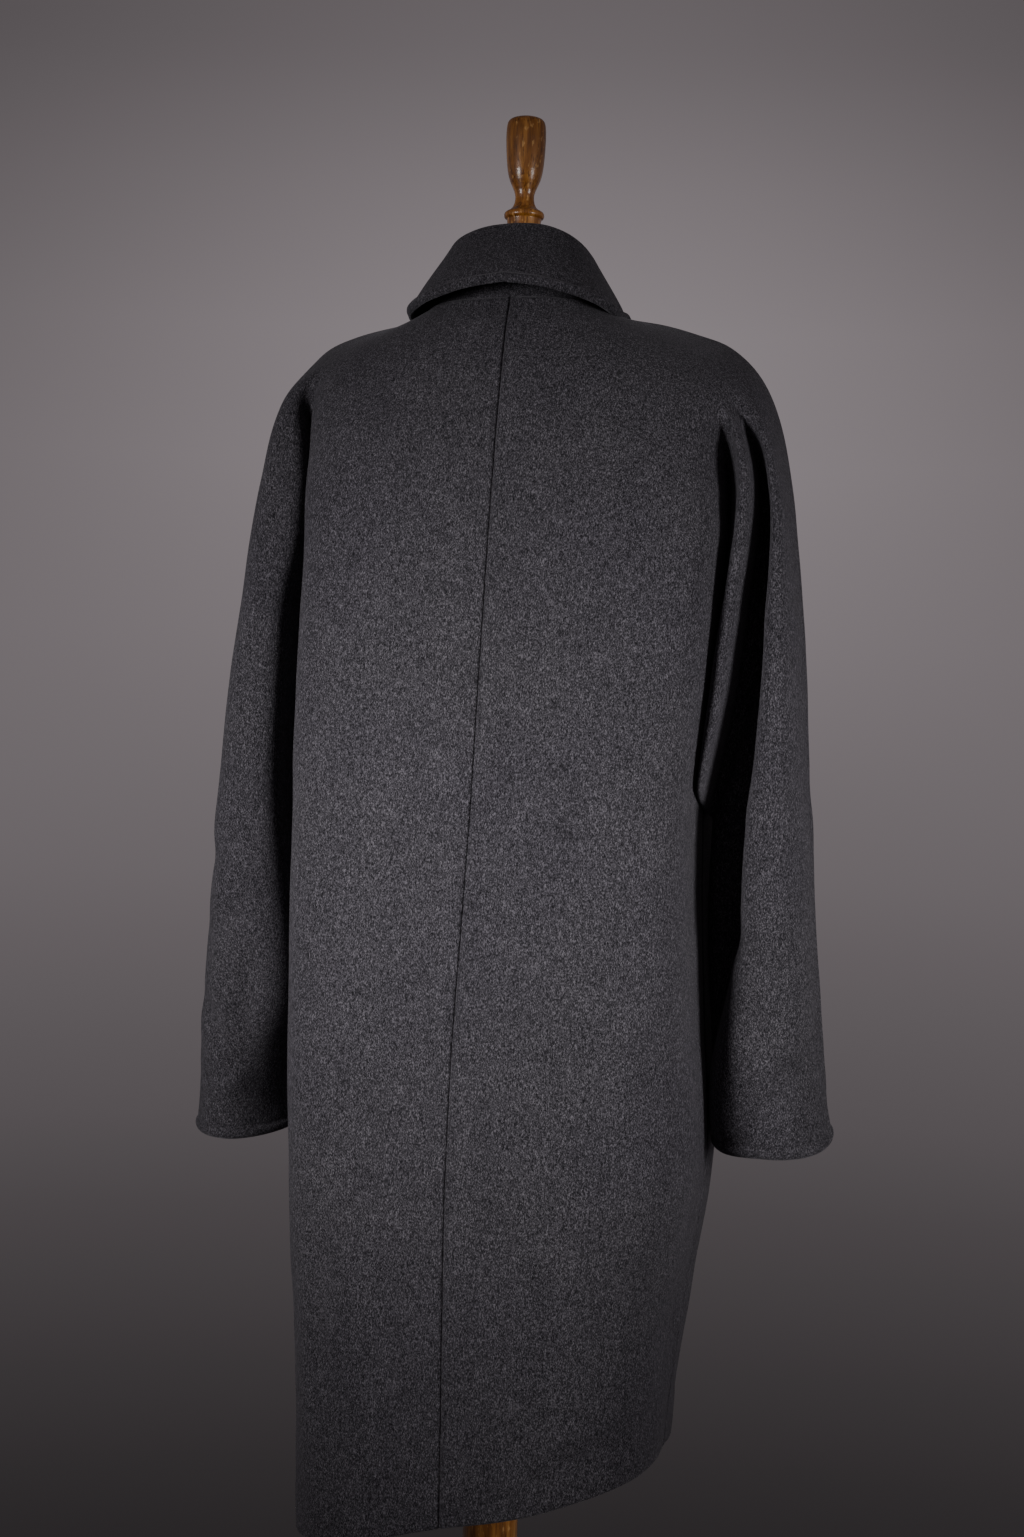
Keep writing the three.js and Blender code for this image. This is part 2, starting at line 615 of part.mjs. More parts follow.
// Turned wood: radius and height of each profile point, from the axis round to the axis
const FINIAL = table("r z", [
  [0, 1533.3],
  [15, 1533.3],
  [15, 1557],
  [17, 1560],
  [17.3, 1565],
  [14.5, 1569],
  [9.5, 1573],
  [8.3, 1579],
  [9, 1584],
  [12.5, 1590],
  [15.5, 1598],
  [17.3, 1608],
  [18.3, 1622],
  [18.4, 1634],
  [17.6, 1642],
  [15.5, 1648],
  [10, 1652.5],
  [0, 1654],
]);
const NECK_CAP = table("r z", [
  [0, 1520.3],
  [40, 1520.3],
  [43, 1523],
  [43, 1529],
  [40, 1533],
  [0, 1533],
]);
const POLE = table("r z", [
  [0, 34.3],
  [38, 34.3],
  [40, 40],
  [34, 52],
  [27, 70],
  [25, 100],
  [25, 740],
  [27, 752],
  [36, 766],
  [46, 776],
  [46, 789.7],
  [0, 789.7],
]);
const BASE = table("r z", [
  [0, 0],
  [214, 0],
  [220, 5],
  [220, 16],
  [212, 25],
  [196, 30],
  [120, 34],
  [0, 34],
]);

function turned(profile, segments) {
  const outline = profile.map(({ r, z }) => new THREE.Vector2(r, z));
  return new THREE.LatheGeometry(outline, segments).rotateX(Math.PI / 2);
}

const BUTTON_RADIUS = 14;
const BUTTON_EDGE = 12.6;
const BUTTON_THICKNESS = 4;
const BUTTON_STANDOFF = 0.35;
const BUTTON_SIDES = 24;
const BUTTON_SHAPE = table("r z", [
  [0, 0],
  [BUTTON_EDGE, 0],
  [BUTTON_RADIUS, 1.4],
  [BUTTON_RADIUS, 2.8],
  [BUTTON_EDGE, BUTTON_THICKNESS],
  [0, BUTTON_THICKNESS],
]);

// Button on the closing at one height, turned to the slope of the cloth under it
function buttonGeometry(patch, height) {
  const centreLine = patch.closing.map(([edge, next]) => {
    const [from, to] = [patch.vectors[edge], patch.vectors[next]];
    return from.clone().lerp(to, from.x / (from.x - to.x));
  });
  const below = centreLine.findIndex((point) => point.z < height);
  const [upper, lower] = [centreLine[below - 1], centreLine[below]];
  const point = upper.clone().lerp(lower, (upper.z - height) / (upper.z - lower.z));
  const outward = new THREE.Vector3(0, lower.z - upper.z, upper.y - lower.y).normalize();
  const turn = new THREE.Quaternion().setFromUnitVectors(new THREE.Vector3(0, 0, 1), outward);
  const position = point.addScaledVector(outward, BUTTON_STANDOFF);
  return turned(BUTTON_SHAPE, BUTTON_SIDES).applyQuaternion(turn).translate(position.x, position.y, position.z);
}

const coat = new THREE.Group();

function addPart(name, geometry, material) {
  const mesh = new THREE.Mesh(geometry, material);
  mesh.name = name;
  coat.add(mesh);
  return mesh;
}

const wool = () => new THREE.MeshStandardMaterial({ color: 0x3b383d, roughness: 0.95, metalness: 0 });
const wood = () => new THREE.MeshStandardMaterial({ color: 0x7e532a, roughness: 0.35, metalness: 0 });
const horn = () => new THREE.MeshStandardMaterial({ color: 0x1d1b1c, roughness: 0.4, metalness: 0 });
const linen = () => new THREE.MeshStandardMaterial({ color: 0xcdbfa6, roughness: 0.9, metalness: 0 });

const panels = {
  backLeft: panel(1, 1),
  backRight: panel(-1, 1),
  frontLeft: panel(1, -1),
  frontRight: panel(-1, -1),
};
addPart("back_left", wallGeometry(panels.backLeft, 0, CLOTH), wool());
addPart("back_right", wallGeometry(panels.backRight, 0, CLOTH), wool());
addPart("front_left", wallGeometry(panels.frontLeft, 0, CLOTH), wool());
addPart("front_right", wallGeometry(panels.frontRight, 0, CLOTH), wool());
const collar = collarSkin(panels);
addPart("top_collar", wallGeometry(collar, 0, TOP_COLLAR), wool());
addPart("under_collar", wallGeometry(collar, TOP_COLLAR + SEAM_GAP, COLLAR_DEPTH), wool());
BUTTON_HEIGHTS.forEach((height, index) => {
  addPart(`button_${index + 1}`, buttonGeometry(panels.frontRight, height), horn());
});
addPart("form_torso", formTorso(), linen());
addPart("neck_cap", turned(NECK_CAP, 48), wood());
addPart("finial", turned(FINIAL, 36), wood());
addPart("pole", turned(POLE, 36), wood());
addPart("base", turned(BASE, 64), wood());

export default coat;
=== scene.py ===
import math

import bpy
import numpy as np
from mathutils import Matrix, Vector, noise


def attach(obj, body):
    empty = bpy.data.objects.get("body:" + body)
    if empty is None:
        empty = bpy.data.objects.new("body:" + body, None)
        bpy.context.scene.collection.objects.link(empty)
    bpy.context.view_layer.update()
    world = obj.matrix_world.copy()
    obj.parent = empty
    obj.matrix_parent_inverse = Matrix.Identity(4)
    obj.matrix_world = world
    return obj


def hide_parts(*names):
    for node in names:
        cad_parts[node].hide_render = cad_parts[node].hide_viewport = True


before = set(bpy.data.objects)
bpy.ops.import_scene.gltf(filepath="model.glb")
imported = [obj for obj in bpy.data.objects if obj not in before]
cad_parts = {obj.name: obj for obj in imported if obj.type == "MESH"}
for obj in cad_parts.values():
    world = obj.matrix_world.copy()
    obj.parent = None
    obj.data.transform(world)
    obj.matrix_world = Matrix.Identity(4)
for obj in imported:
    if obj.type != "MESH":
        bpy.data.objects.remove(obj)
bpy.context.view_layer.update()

MM = 0.001

# Driving sizes in millimetres, as the CAD solids have them
CLOTH = 2.4
SEAM_GAP = 0.3
UNDERARM_Z = 1020
HEM_Z = 417
HEM_SLANT = 0.25
CUFF_Z = {1: 721, -1: 736}
CUFF_TILT = 0.16
FRONT_OVERLAP = 28
BUTTON_HEIGHTS = [1345, 1205, 1065, 925]
SLEEVE_POWER = 2.2
YOKE_POWER = 2.6
YOKE_BODY_SHARE = 0.68
YOKE_FOLD_SHARE = 0.1
NOTCH_LEVEL = 11
RIDGE_LEVEL = 77
LOOSE_RIM = 1.0
SEAM_RIM = 0.08


class Table:
    """Rows with named columns, read smoothly between them."""

    def __init__(self, names, rows):
        self.columns = dict(zip(names.split(), np.array(rows, dtype=float).T))

    def at(self, key, column, place):
        keys, values = self.columns[key], self.columns[column]
        last = len(keys) - 1
        low = int(np.clip(np.searchsorted(keys, place, side="right") - 1, 0, last - 1))
        low = min(low, last - 1)

        def slope(index):
            before, after = max(index - 1, 0), min(index + 1, last)
            return (values[after] - values[before]) / (keys[after] - keys[before])

        span = keys[low + 1] - keys[low]
        f = (place - keys[low]) / span
        ease = f * f * (3 - 2 * f)
        lift = f * (1 - f) * span * (slope(low) * (1 - f) - slope(low + 1) * f)
        return values[low] + (values[low + 1] - values[low]) * ease + lift


UPPER = Table(
    "row zBack zFront zL zR left right back front halfL halfR power armF armL armR notchL notchR inL inR armD edge start"
    " ridge cutL cutR",
    [
        [0, 1475, 1410, 1475, 1474, 80, 80, 70, 86, 150, 150, 3, 24, 24, 24, 0, 0, 2.2, 2.2, 50, 60, 50, 0, 0, 0],
        [1, 1455, 1400, 1469, 1467, 104, 104, 82, 96, 160, 160, 3, 24, 24, 24, 0, 0, 2.2, 2.2, 56, 62, 60, 0, 0, 0],
        [2, 1432, 1388, 1464, 1462, 132, 132, 92, 106, 168, 168, 3, 24, 24, 24, 0, 0, 2.2, 2.2, 60, 66, 66, 0, 0, 0],
        [3, 1408, 1374, 1457, 1453, 160, 162, 100, 114, 175, 177, 3.2, 20, 20, 20, 0, 0, 2.5, 2.2, 64, 66, 66, 0, 0, 0],
        [4, 1382, 1356, 1445, 1440, 187, 194, 106, 121, 181, 184, 3.6, 14, 14, 16, 0, 0, 3.5, 2.4, 66, 64, 64, 0, 0.03, 0],
        [5, 1354, 1334, 1420, 1412, 208, 222, 111, 127, 184, 192, 4, 11, 11, 12, 0, 0, 5, 2.8, 67, 54, 56, 0.35, 0.78, 0.06],
        [6, 1322, 1306, 1377, 1370, 226, 240, 115, 132, 183.5, 195, 4.4, 18, 20.5, 8, 0, 0, 6, 3.5, 68, 38, 40, 1, 1, 0.66],
        [7, 1286, 1274, 1322, 1316, 238, 250, 119, 136, 181, 196, 5.2, 23.5, 27, 7, 0, 0, 7, 4, 68, 27, 28, 1, 1, 1],
        [8, 1244, 1236, 1266, 1260, 248, 257, 122, 139, 180, 195, 5.6, 25, 30, 9.5, 0, 0, 7, 4.5, 69, 22, 22, 1, 1, 1],
        [9, 1194, 1190, 1207, 1202, 255, 263, 126, 141, 180, 192, 6, 28, 28.4, 14, 0, 0, 7, 5, 71, 18, 18, 1, 1, 1],
        [10, 1138, 1136, 1145, 1142, 261, 267, 130, 143, 180.5, 188, 6, 33, 30.2, 17.5, 1, 5, 7, 5.5, 73, 14, 14, 0.9, 1, 1],
        [11, 1072, 1071, 1074, 1073, 268, 271, 134, 145, 179.5, 182, 6, 39, 33, 22, 6, 20, 6.5, 5.5, 74, 8, 8, 0.7, 1, 1],
        [12, 1020, 1020, 1020, 1020, 273, 275, 137, 146, 177.5, 179, 6, 44, 36.5, 26.5, 18, 35, 6, 5, 74, 0, 0, 0, 1, 1],
    ],
)
LOWER = Table(
    "down left right back front seam power",
    [
        [0, 177.5, 179, 137, 146, 0, 6],
        [0.13, 178, 180, 141, 147, 3, 5.8],
        [0.33, 177.5, 185, 147, 148, 8, 4.8],
        [0.5, 177, 190.5, 150, 149, 10, 3.9],
        [0.6, 176.5, 187.5, 151.5, 149, 9.7, 3.5],
        [0.74, 175, 175, 153, 149, 9, 3],
        [0.9, 170.5, 163, 155, 149, 7, 3],
        [1, 167, 157, 156, 148, 6, 3],
    ],
)
SLEEVE = Table(
    "along outL outR seamL seamR notchL notchR y d inL inR",
    [
        [0, 273, 275, 182, 187, 18, 35, 0, 74, 6, 5],
        [0.22, 278, 278, 183, 184.5, 11, 36.5, -4, 74, 5, 4.8],
        [0.4, 284, 282, 186, 184.5, 3, 31, -10, 73, 4.6, 4],
        [0.57, 289.5, 286, 189, 186.5, 1, 17, -16, 71, 4.2, 3.4],
        [0.75, 293.8, 289.8, 195, 189, 7, 3.5, -22, 68, 1.9, 3.6],
        [0.9, 296.5, 292.5, 201, 190.5, 9, 0, -27, 65, 1.6, 3.6],
        [1, 301, 298, 201, 194, 4, 0, -30, 63, 1.7, 3.2],
    ],
)
SEAM_DRIFT = Table("row x", [[0, -7], [4, -8], [8, -5], [12, 0]])


def smoothstep(start, end, at):
    f = np.clip((np.asarray(at, dtype=float) - start) / (end - start), 0, 1)
    return f * f * (3 - 2 * f)


def mix(a, b, share):
    return a + (b - a) * share


def respace(points, shares):
    """Points of a polyline in plan at given shares of its length."""
    steps = np.hypot(*np.diff(points, axis=0).T)
    lengths = np.concatenate([[0], np.cumsum(steps)])
    at = np.asarray(shares) * lengths[-1]
    return np.column_stack([np.interp(at, lengths, points[:, 0]), np.interp(at, lengths, points[:, 1])])


def rounded_arc(centre, half, depth, power, start, end, steps=120):
    angle = np.radians(np.linspace(start, end, steps + 1))
    across, along = np.cos(angle), np.maximum(np.sin(angle), 0)
    x = centre[0] + half * np.sign(across) * np.abs(across) ** (2 / power)
    return np.column_stack([x, centre[1] + depth * along ** (2 / power)])


def angle_at_depth(depth, full, power):
    return math.degrees(math.asin(min(max(depth / full, 0), 1) ** (power / 2)))


def start_angle(face, half, power):
    if face > 0:
        return 90
    return 90 + math.degrees(math.asin((FRONT_OVERLAP / half) ** (power / 2)))


def body_arc(face, half, depth, edge, power):
    return rounded_arc(
        (0, 0), half, depth, power, start_angle(face, half, power), angle_at_depth(edge, depth, power), 240
    )


def sleeve_path(seam, corner, outer, y, depth, start, inner):
    """Sleeve section from its inner seam across the hollow beside the body, up its corner and round to the outside."""
    half = (outer - corner) / 2
    centre = (corner + half, y)
    gap = corner - seam
    level = start + NOTCH_LEVEL * smoothstep(0, 12, gap)
    begin = 180 - angle_at_depth(level, depth, inner)
    near = rounded_arc(centre, half, depth, inner, begin, 90, 160)
    far = rounded_arc(centre, half, depth, SLEEVE_POWER, 90, 0, 120)
    arc = np.vstack([near, far[1:]])
    if gap < 1:
        return arc
    bottom = [[seam, y + start], [seam + 0.12 * gap, y + level * 0.9], [corner - 0.1 * gap, y + level]]
    return np.vstack([bottom, arc])


# Cells across and down one fine panel, and extra lines close to its edges
BODY_FINE = 60
FOLD_FINE = 48
SLEEVE_FINE = 44
EDGE_LINES = [0.0012, 0.0035, 0.007]


def with_edges(cells, start=False, end=False, near=EDGE_LINES):
    """Even shares from 0 to 1, with finer lines at the marked ends."""
    shares = set(np.round(np.linspace(0, 1, cells + 1), 6))
    if start:
        shares |= set(near)
    if end:
        shares |= {1 - share for share in near}
    return np.array(sorted(shares))


BODY_SHARES = with_edges(BODY_FINE, start=True, near=[0.006, 0.012, 0.022])
FOLD_SHARES = with_edges(FOLD_FINE)
SLEEVE_SHARES = with_edges(SLEEVE_FINE)
BODY_LAST = len(BODY_SHARES) - 1
FOLD_LAST = BODY_LAST + len(FOLD_SHARES) - 1
PANEL_LAST = FOLD_LAST + len(SLEEVE_SHARES) - 1
COLUMN_SHARES = np.concatenate(
    [
        YOKE_BODY_SHARE * BODY_SHARES,
        YOKE_BODY_SHARE + YOKE_FOLD_SHARE * FOLD_SHARES[1:],
        YOKE_BODY_SHARE + YOKE_FOLD_SHARE + (1 - YOKE_BODY_SHARE - YOKE_FOLD_SHARE) * SLEEVE_SHARES[1:],
    ]
)


def upper_row(side, face, row, shares=None):
    """One row above the underarm: points [out from the centre, out from the side plane, height]."""
    at = lambda column: UPPER.at("row", column, row)
    depth = at("back") if face > 0 else at("front")
    reach = at("left") if side > 0 else at("right")
    half = at("halfL") if side > 0 else at("halfR")
    cut = min(max(at("cutL") if side > 0 else at("cutR"), 0), 1)

    whole = rounded_arc((0, 0), reach, depth, YOKE_POWER, start_angle(face, reach, YOKE_POWER), 0)
    length = np.hypot(*np.diff(whole, axis=0).T).sum()
    plain = respace(whole, COLUMN_SHARES)

    body = respace(body_arc(face, half, depth, at("edge"), at("power")), BODY_SHARES)
    side_name = "L" if side > 0 else "R"
    if face > 0:
        inner, arm, notch = at("in" + side_name), at("arm" + side_name), max(at("notch" + side_name), 0)
    else:
        inner, arm, notch = SLEEVE_POWER, at("armF"), 0
    corner = reach - 2 * arm
    sleeve = sleeve_path(corner - notch, corner, reach, 0, at("armD"), at("start"), inner)
    sleeve = respace(sleeve, SLEEVE_SHARES)
    low = min(body[-1][1], sleeve[0][1]) * 0.8
    ends = np.array([body[-1], sleeve[0]])
    tall = at("ridge") if row < 9 else 1 - smoothstep(11.5, 11.98, row)
    crest = mix(low, RIDGE_LEVEL, tall) if side < 0 and face > 0 else low
    near = mix(low, crest, 0.72 * smoothstep(8.5, 9.8, row))
    peak = 0.33 + 0.3 * (1 - smoothstep(5.8, 9.5, row))
    fold_shares = [0, 0.06, peak - 0.2, peak - 0.15, peak - 0.07, peak + 0.08, peak + 0.15, peak + 0.2, 0.94, 1]
    levels = [ends[0][1], near, mix(near, crest, 0.72), mix(near, crest, 0.93), crest, mix(low, crest, 0.95),
              mix(low, crest, 0.72), low, low, ends[1][1]]
    fold_path = np.column_stack([np.interp(fold_shares, [0, 1], ends[:, 0]), levels])
    fold = respace(fold_path, FOLD_SHARES)
    divided = np.vstack([body, fold[1:], sleeve[1:]])

    points = mix(plain, divided, cut)
    centre = 0 if face > 0 else FRONT_OVERLAP / length
    share = np.abs(COLUMN_SHARES - centre) / (1 - centre)
    rise = np.maximum((share - 0.25) / 0.75, 0) ** 1.7 if face > 0 else share**1.5
    z = mix(at("zBack") if face > 0 else at("zFront"), at("zL") if side > 0 else at("zR"), rise)
    drift = side * SEAM_DRIFT.at("row", "x", row) if face > 0 else 0
    x = points[:, 0] + drift * np.maximum(1 - points[:, 0] / reach, 0)
    return np.column_stack([x, points[:, 1], z])


def lower_row(side, face, down):
    at = lambda column: LOWER.at("down", column, down)
    half = at("left") if side > 0 else at("right")
    depth = at("back") if face > 0 else at("front")
    drift = side * at("seam") if face > 0 else 0
    points = respace(body_arc(face, half, depth, 0, at("power")), BODY_SHARES)
    z = mix(UNDERARM_Z, HEM_Z - HEM_SLANT * side * points[:, 0], down)
    x = points[:, 0] + drift * np.maximum(1 - points[:, 0] / half, 0)
    return np.column_stack([x, points[:, 1], z])


def sleeve_row(side, face, along):
    at = lambda column: SLEEVE.at("along", column, along)
    side_name = "L" if side > 0 else "R"
    y, seam = at("y"), at("seam" + side_name)
    notch, inner = (max(at("notch" + side_name), 0), at("in" + side_name)) if face > 0 else (0, SLEEVE_POWER)
    path = sleeve_path(seam, seam + notch, at("out" + side_name), face * y, at("d"), 0, inner)
    points = respace(path, SLEEVE_SHARES)
    z = mix(UNDERARM_Z, CUFF_Z[side] - CUFF_TILT * (face * points[:, 1] - y), along)
    return np.column_stack([points, z])


def overlap_step(side, face, x, z):
    """The right front lies over the left, stepped out by the cloth it covers."""
    if face > 0 or side > 0:
        return np.zeros_like(x)
    slope = 1 + 1.1 * smoothstep(1250, 1390, z)
    return (CLOTH + 3 * SEAM_GAP) * slope * (1 - smoothstep(FRONT_OVERLAP + 24, FRONT_OVERLAP + 90, x))


UPPER_CELLS = [6, 6, 6, 6, 7, 8, 9, 10, 12, 13, 14, 12]
UPPER_PLACES = np.concatenate(
    [np.linspace(i, i + 1, cells, endpoint=False) for i, cells in enumerate(UPPER_CELLS)] + [[12]]
)
LOWER_SHARES = with_edges(140, end=True)[1:]
CUFF_SHARES = with_edges(76, end=True, near=[0.004, 0.01, 0.02, 0.026, 0.032, 0.038])[1:]


class Patch:
    """A grid-made patch of cloth: points, quads, and the axis that a seam's edge is square to."""

    def __init__(self):
        self.points, self.quads, self.flats, self.marks = [], [], [], []
        self.count = 0

    def add_row(self, points, flats, marks):
        first = self.count
        self.points.append(points)
        self.flats += flats
        self.marks += marks
        self.count += len(points)
        return np.arange(first, self.count)

    def join(self, rows, flip):
        for upper, lower in zip(rows, rows[1:]):
            a, b, c, d = upper[:-1], lower[:-1], lower[1:], upper[1:]
            quads = np.column_stack([a, d, c, b] if flip else [a, b, c, d])
            self.quads.append(quads)

    def close(self):
        self.points = np.vstack(self.points)
        self.quads = np.vstack(self.quads)


def panel(side, face):
    """One of the four panels, each cut in one with its half of the sleeve."""
    patch = Patch()
    half = SEAM_GAP / 2

    def place(points, flats, zone, down):
        x, y, z = points.T
        flats = list(flats)
        shift_x = np.array([half if flat == "x" else 0 for flat in flats])
        shift_y = np.array([half if flat == "y" else 0 for flat in flats])
        step = overlap_step(side, face, x, z)
        placed = np.column_stack([side * (x + shift_x), face * (y + shift_y + step), z])
        marks = [(zone, down, column) for column in range(len(x))]
        return patch.add_row(placed, flats, marks)

    centre = "x" if face > 0 else ""
    upper = []
    for row in UPPER_PLACES:
        lowest = row == 12
        points = upper_row(side, face, row)
        flats = [centre] + [""] * (PANEL_LAST - 1) + ["y"]
        if lowest:
            for column in range(BODY_LAST, FOLD_LAST + 1):
                flats[column] = "y"
            share = (np.arange(BODY_LAST, FOLD_LAST + 1) - BODY_LAST) / (FOLD_LAST - BODY_LAST)
            points[BODY_LAST : FOLD_LAST + 1, 2] += 4 * np.sin(np.pi * share)
        upper.append(place(points, flats, "upper", row))
    flip = side * face > 0
    patch.join(upper, flip)
    body = [upper[-1][: BODY_LAST + 1]]
    for down in LOWER_SHARES:
        flats = [centre] + [""] * (BODY_LAST - 1) + ["y"]
        body.append(place(lower_row(side, face, down), flats, "body", down))
    patch.join(body, flip)
    sleeve = [upper[-1][FOLD_LAST:]]
    for along in CUFF_SHARES:
        flats = ["y"] + [""] * (len(SLEEVE_SHARES) - 2) + ["y"]
        sleeve.append(place(sleeve_row(side, face, along), flats, "sleeve", along))
    patch.join(sleeve, flip)
    patch.close()
    patch.neck = upper[0]
    patch.side, patch.face = side, face
    return patch


def normals_of(points, quads, flats):
    a, b, c, d = (points[quads[:, i]] for i in range(4))
    cross = np.cross(c - a, d - b)
    normals = np.zeros_like(points)
    for i in range(4):
        np.add.at(normals, quads[:, i], cross)
    flats = np.array(flats)
    if len(flats):
        normals[flats == "x", 0] = 0
        normals[flats == "y", 1] = 0
    return normals / np.maximum(np.linalg.norm(normals, axis=1, keepdims=True), 1e-12)


def edges_of(quads):
    """Directed edges of the patch's outline."""
    edges = {}
    for a, b, c, d in quads.tolist():
        for pair in ((a, b), (b, c), (c, d), (d, a)):
            if pair[::-1] in edges:
                del edges[pair[::-1]]
            else:
                edges[pair] = True
    return list(edges)


def relax(points, quads, rounds, fixed, weight=0.5):
    """Evens out sharp changes, leaving fixed points where they are."""
    pairs = np.vstack([quads[:, [0, 1]], quads[:, [1, 2]], quads[:, [2, 3]], quads[:, [3, 0]]])
    pairs = np.unique(np.sort(pairs, axis=1), axis=0)
    points = points.copy()
    for _ in range(rounds):
        total = np.zeros_like(points)
        number = np.zeros(len(points))
        for i, j in ((0, 1), (1, 0)):
            np.add.at(total, pairs[:, i], points[pairs[:, j]])
            np.add.at(number, pairs[:, i], 1)
        moved = mix(points, total / number[:, None], weight)
        moved[fixed] = points[fixed]
        points = moved
    return points


def make_mesh(name, points, faces, material, smooth=True):
    mesh = bpy.data.meshes.new(name)
    mesh.from_pydata((np.asarray(points) * MM).tolist(), [], faces)
    mesh.validate()
    mesh.update()
    for polygon in mesh.polygons:
        polygon.use_smooth = smooth
    piece = bpy.data.objects.new(name, mesh)
    bpy.context.collection.objects.link(piece)
    mesh.materials.append(material)
    return piece


def wall(name, points, quads, flats, outer, inner, rim, material):
    """Closed shell: the patch moved out by outer and in by inner, with a rounded rim."""
    normals = normals_of(points, quads, flats)
    count = len(points)
    top = points + normals * np.reshape(outer, (-1, 1))
    bottom = points - normals * np.reshape(inner, (-1, 1))
    faces = quads.tolist() + (quads[:, ::-1] + count).tolist()
    outline = edges_of(quads)
    verts = [top, bottom]
    # one ring between the two skins, a little outside the edge, rounds the rim
    ring = {}
    middle = []
    outward = {}
    for a, b in outline:
        along = points[b] - points[a]
        out = np.cross(along, normals[a] + normals[b])
        length = np.linalg.norm(out)
        for v in (a, b):
            outward[v] = outward.get(v, 0) + (out / length if length > 1e-9 else 0)
    for a, b in outline:
        for v in (a, b):
            if v not in ring:
                out = np.asarray(outward[v], dtype=float)
                out /= max(np.linalg.norm(out), 1e-9)
                ring[v] = 2 * count + len(middle)
                middle.append((top[v] + bottom[v]) / 2 + out * rim[v])
    for a, b in outline:
        faces.append([b, a, ring[a], ring[b]])
        faces.append([ring[b], ring[a], a + count, b + count])
    verts.append(np.array(middle))
    return make_mesh(name, np.vstack(verts), faces, material)


# Main creases, placed one by one: from (x0, z0) to (x1, z1), half width and depth, all in millimetres
CREASES = {
    1: [  # back
        [-193, 1292, -150, 1222, 9, 1.8],
        [-176, 1330, -160, 1250, 22, 1.6],
        [128, 1350, 30, 1255, 18, 1.3],
        [172, 1345, 120, 1245, 16, 1.2],
        [79, 1150, 52, 1030, 20, 1.5],
        [51, 1000, 64, 885, 18, 1.4],
        [53, 812, 79, 730, 9, 2.4],
        [70, 802, 99, 744, 11, 1.5],
        [34, 842, 44, 782, 12, 1.3],
        [108, 705, 112, 450, 15, 1.7],
        [88, 688, 56, 480, 14, 1.4],
        [150, 640, 146, 400, 16, 1.5],
        [-86, 745, -117, 696, 14, 2.2],
        [-75, 642, -97, 592, 14, 1.8],
        [-168, 615, -191, 525, 18, 2.2],
        [-135, 490, -54, 440, 12, 1.8],
        [-118, 1165, -92, 1095, 20, 0.9],
        [-92, 985, -74, 885, 18, 1.0],
        [-28, 700, -22, 540, 16, 1.0],
        [16, 640, 24, 430, 12, 1.1],
        [-150, 900, -160, 760, 16, 1.3],
        [-40, 1395, -100, 1352, 16, 1.0],
    ],
    -1: [  # front, hidden in the photograph
        [-176, 1330, -120, 1235, 18, 1.8],
        [182, 1320, 128, 1225, 16, 1.7],
        [-150, 1190, -96, 1090, 18, 1.3],
        [146, 1180, 100, 1070, 18, 1.2],
        [-32, 905, -72, 790, 16, 1.8],
        [34, 900, 66, 770, 15, 1.6],
        [-120, 820, -128, 560, 18, 1.8],
        [118, 800, 126, 520, 17, 1.7],
        [-62, 700, -54, 470, 15, 1.3],
        [70, 690, 60, 450, 15, 1.5],
        [-160, 690, -150, 500, 16, 1.6],
        [152, 700, 150, 470, 16, 1.5],
        [-20, 780, -16, 520, 14, 0.9],
        [-100, 1120, -132, 990, 20, 1.0],
        [96, 1110, 130, 970, 20, 1.1],
    ],
    0: [  # sleeves, all round
        [278, 846, 244, 790, 9, 1.9],
        [282, 764, 236, 790, 9, 1.6],
        [270, 900, 226, 930, 12, 1.4],
        [232, 1000, 278, 965, 14, 1.2],
        [250, 1250, 244, 1040, 16, 1.3],
        [222, 880, 232, 760, 10, 1.5],
        [-284, 812, -240, 764, 12, 2.0],
        [-238, 865, -256, 796, 12, 1.8],
        [-214, 930, -262, 880, 13, 1.5],
        [-232, 1180, -250, 950, 14, 1.6],
        [-268, 1060, -230, 1005, 14, 1.2],
        [-286, 930, -276, 800, 10, 1.2],
    ],
}


CREASE_GAIN = 1.7


def crease_field(x, z, creases):
    """How far the creases push the cloth in (negative) or raise it beside them."""
    field = np.zeros_like(x)
    for x0, z0, x1, z1, width, depth in creases:
        along = np.array([x1 - x0, z1 - z0], dtype=float)
        length = np.hypot(*along)
        along /= length
        t = ((x - x0) * along[0] + (z - z0) * along[1]) / length
        off = (x - x0) * -along[1] + (z - z0) * along[0]
        bend = off - 0.06 * length * np.sin(np.pi * np.clip(t, 0, 1)) * (1 if depth > 1.4 else -1)
        taper = smoothstep(-0.18, 0.3, t) * (1 - smoothstep(0.62, 1.22, t))
        trough = np.exp(-((bend / width) ** 2))
        ridge = np.exp(-(((bend - 1.7 * width) / (1.1 * width)) ** 2))
        other = np.exp(-(((bend + 1.8 * width) / (1.3 * width)) ** 2))
        field += depth * taper * (0.5 * ridge + 0.35 * other - trough)
    return CREASE_GAIN * field


def wander(points, scale, seed):
    """Slow, seeded unevenness between -1 and 1."""
    offset = Vector((seed * 7.3, seed * 3.1, seed * 5.7))
    return np.array([noise.noise(Vector(point) * scale + offset) for point in points])


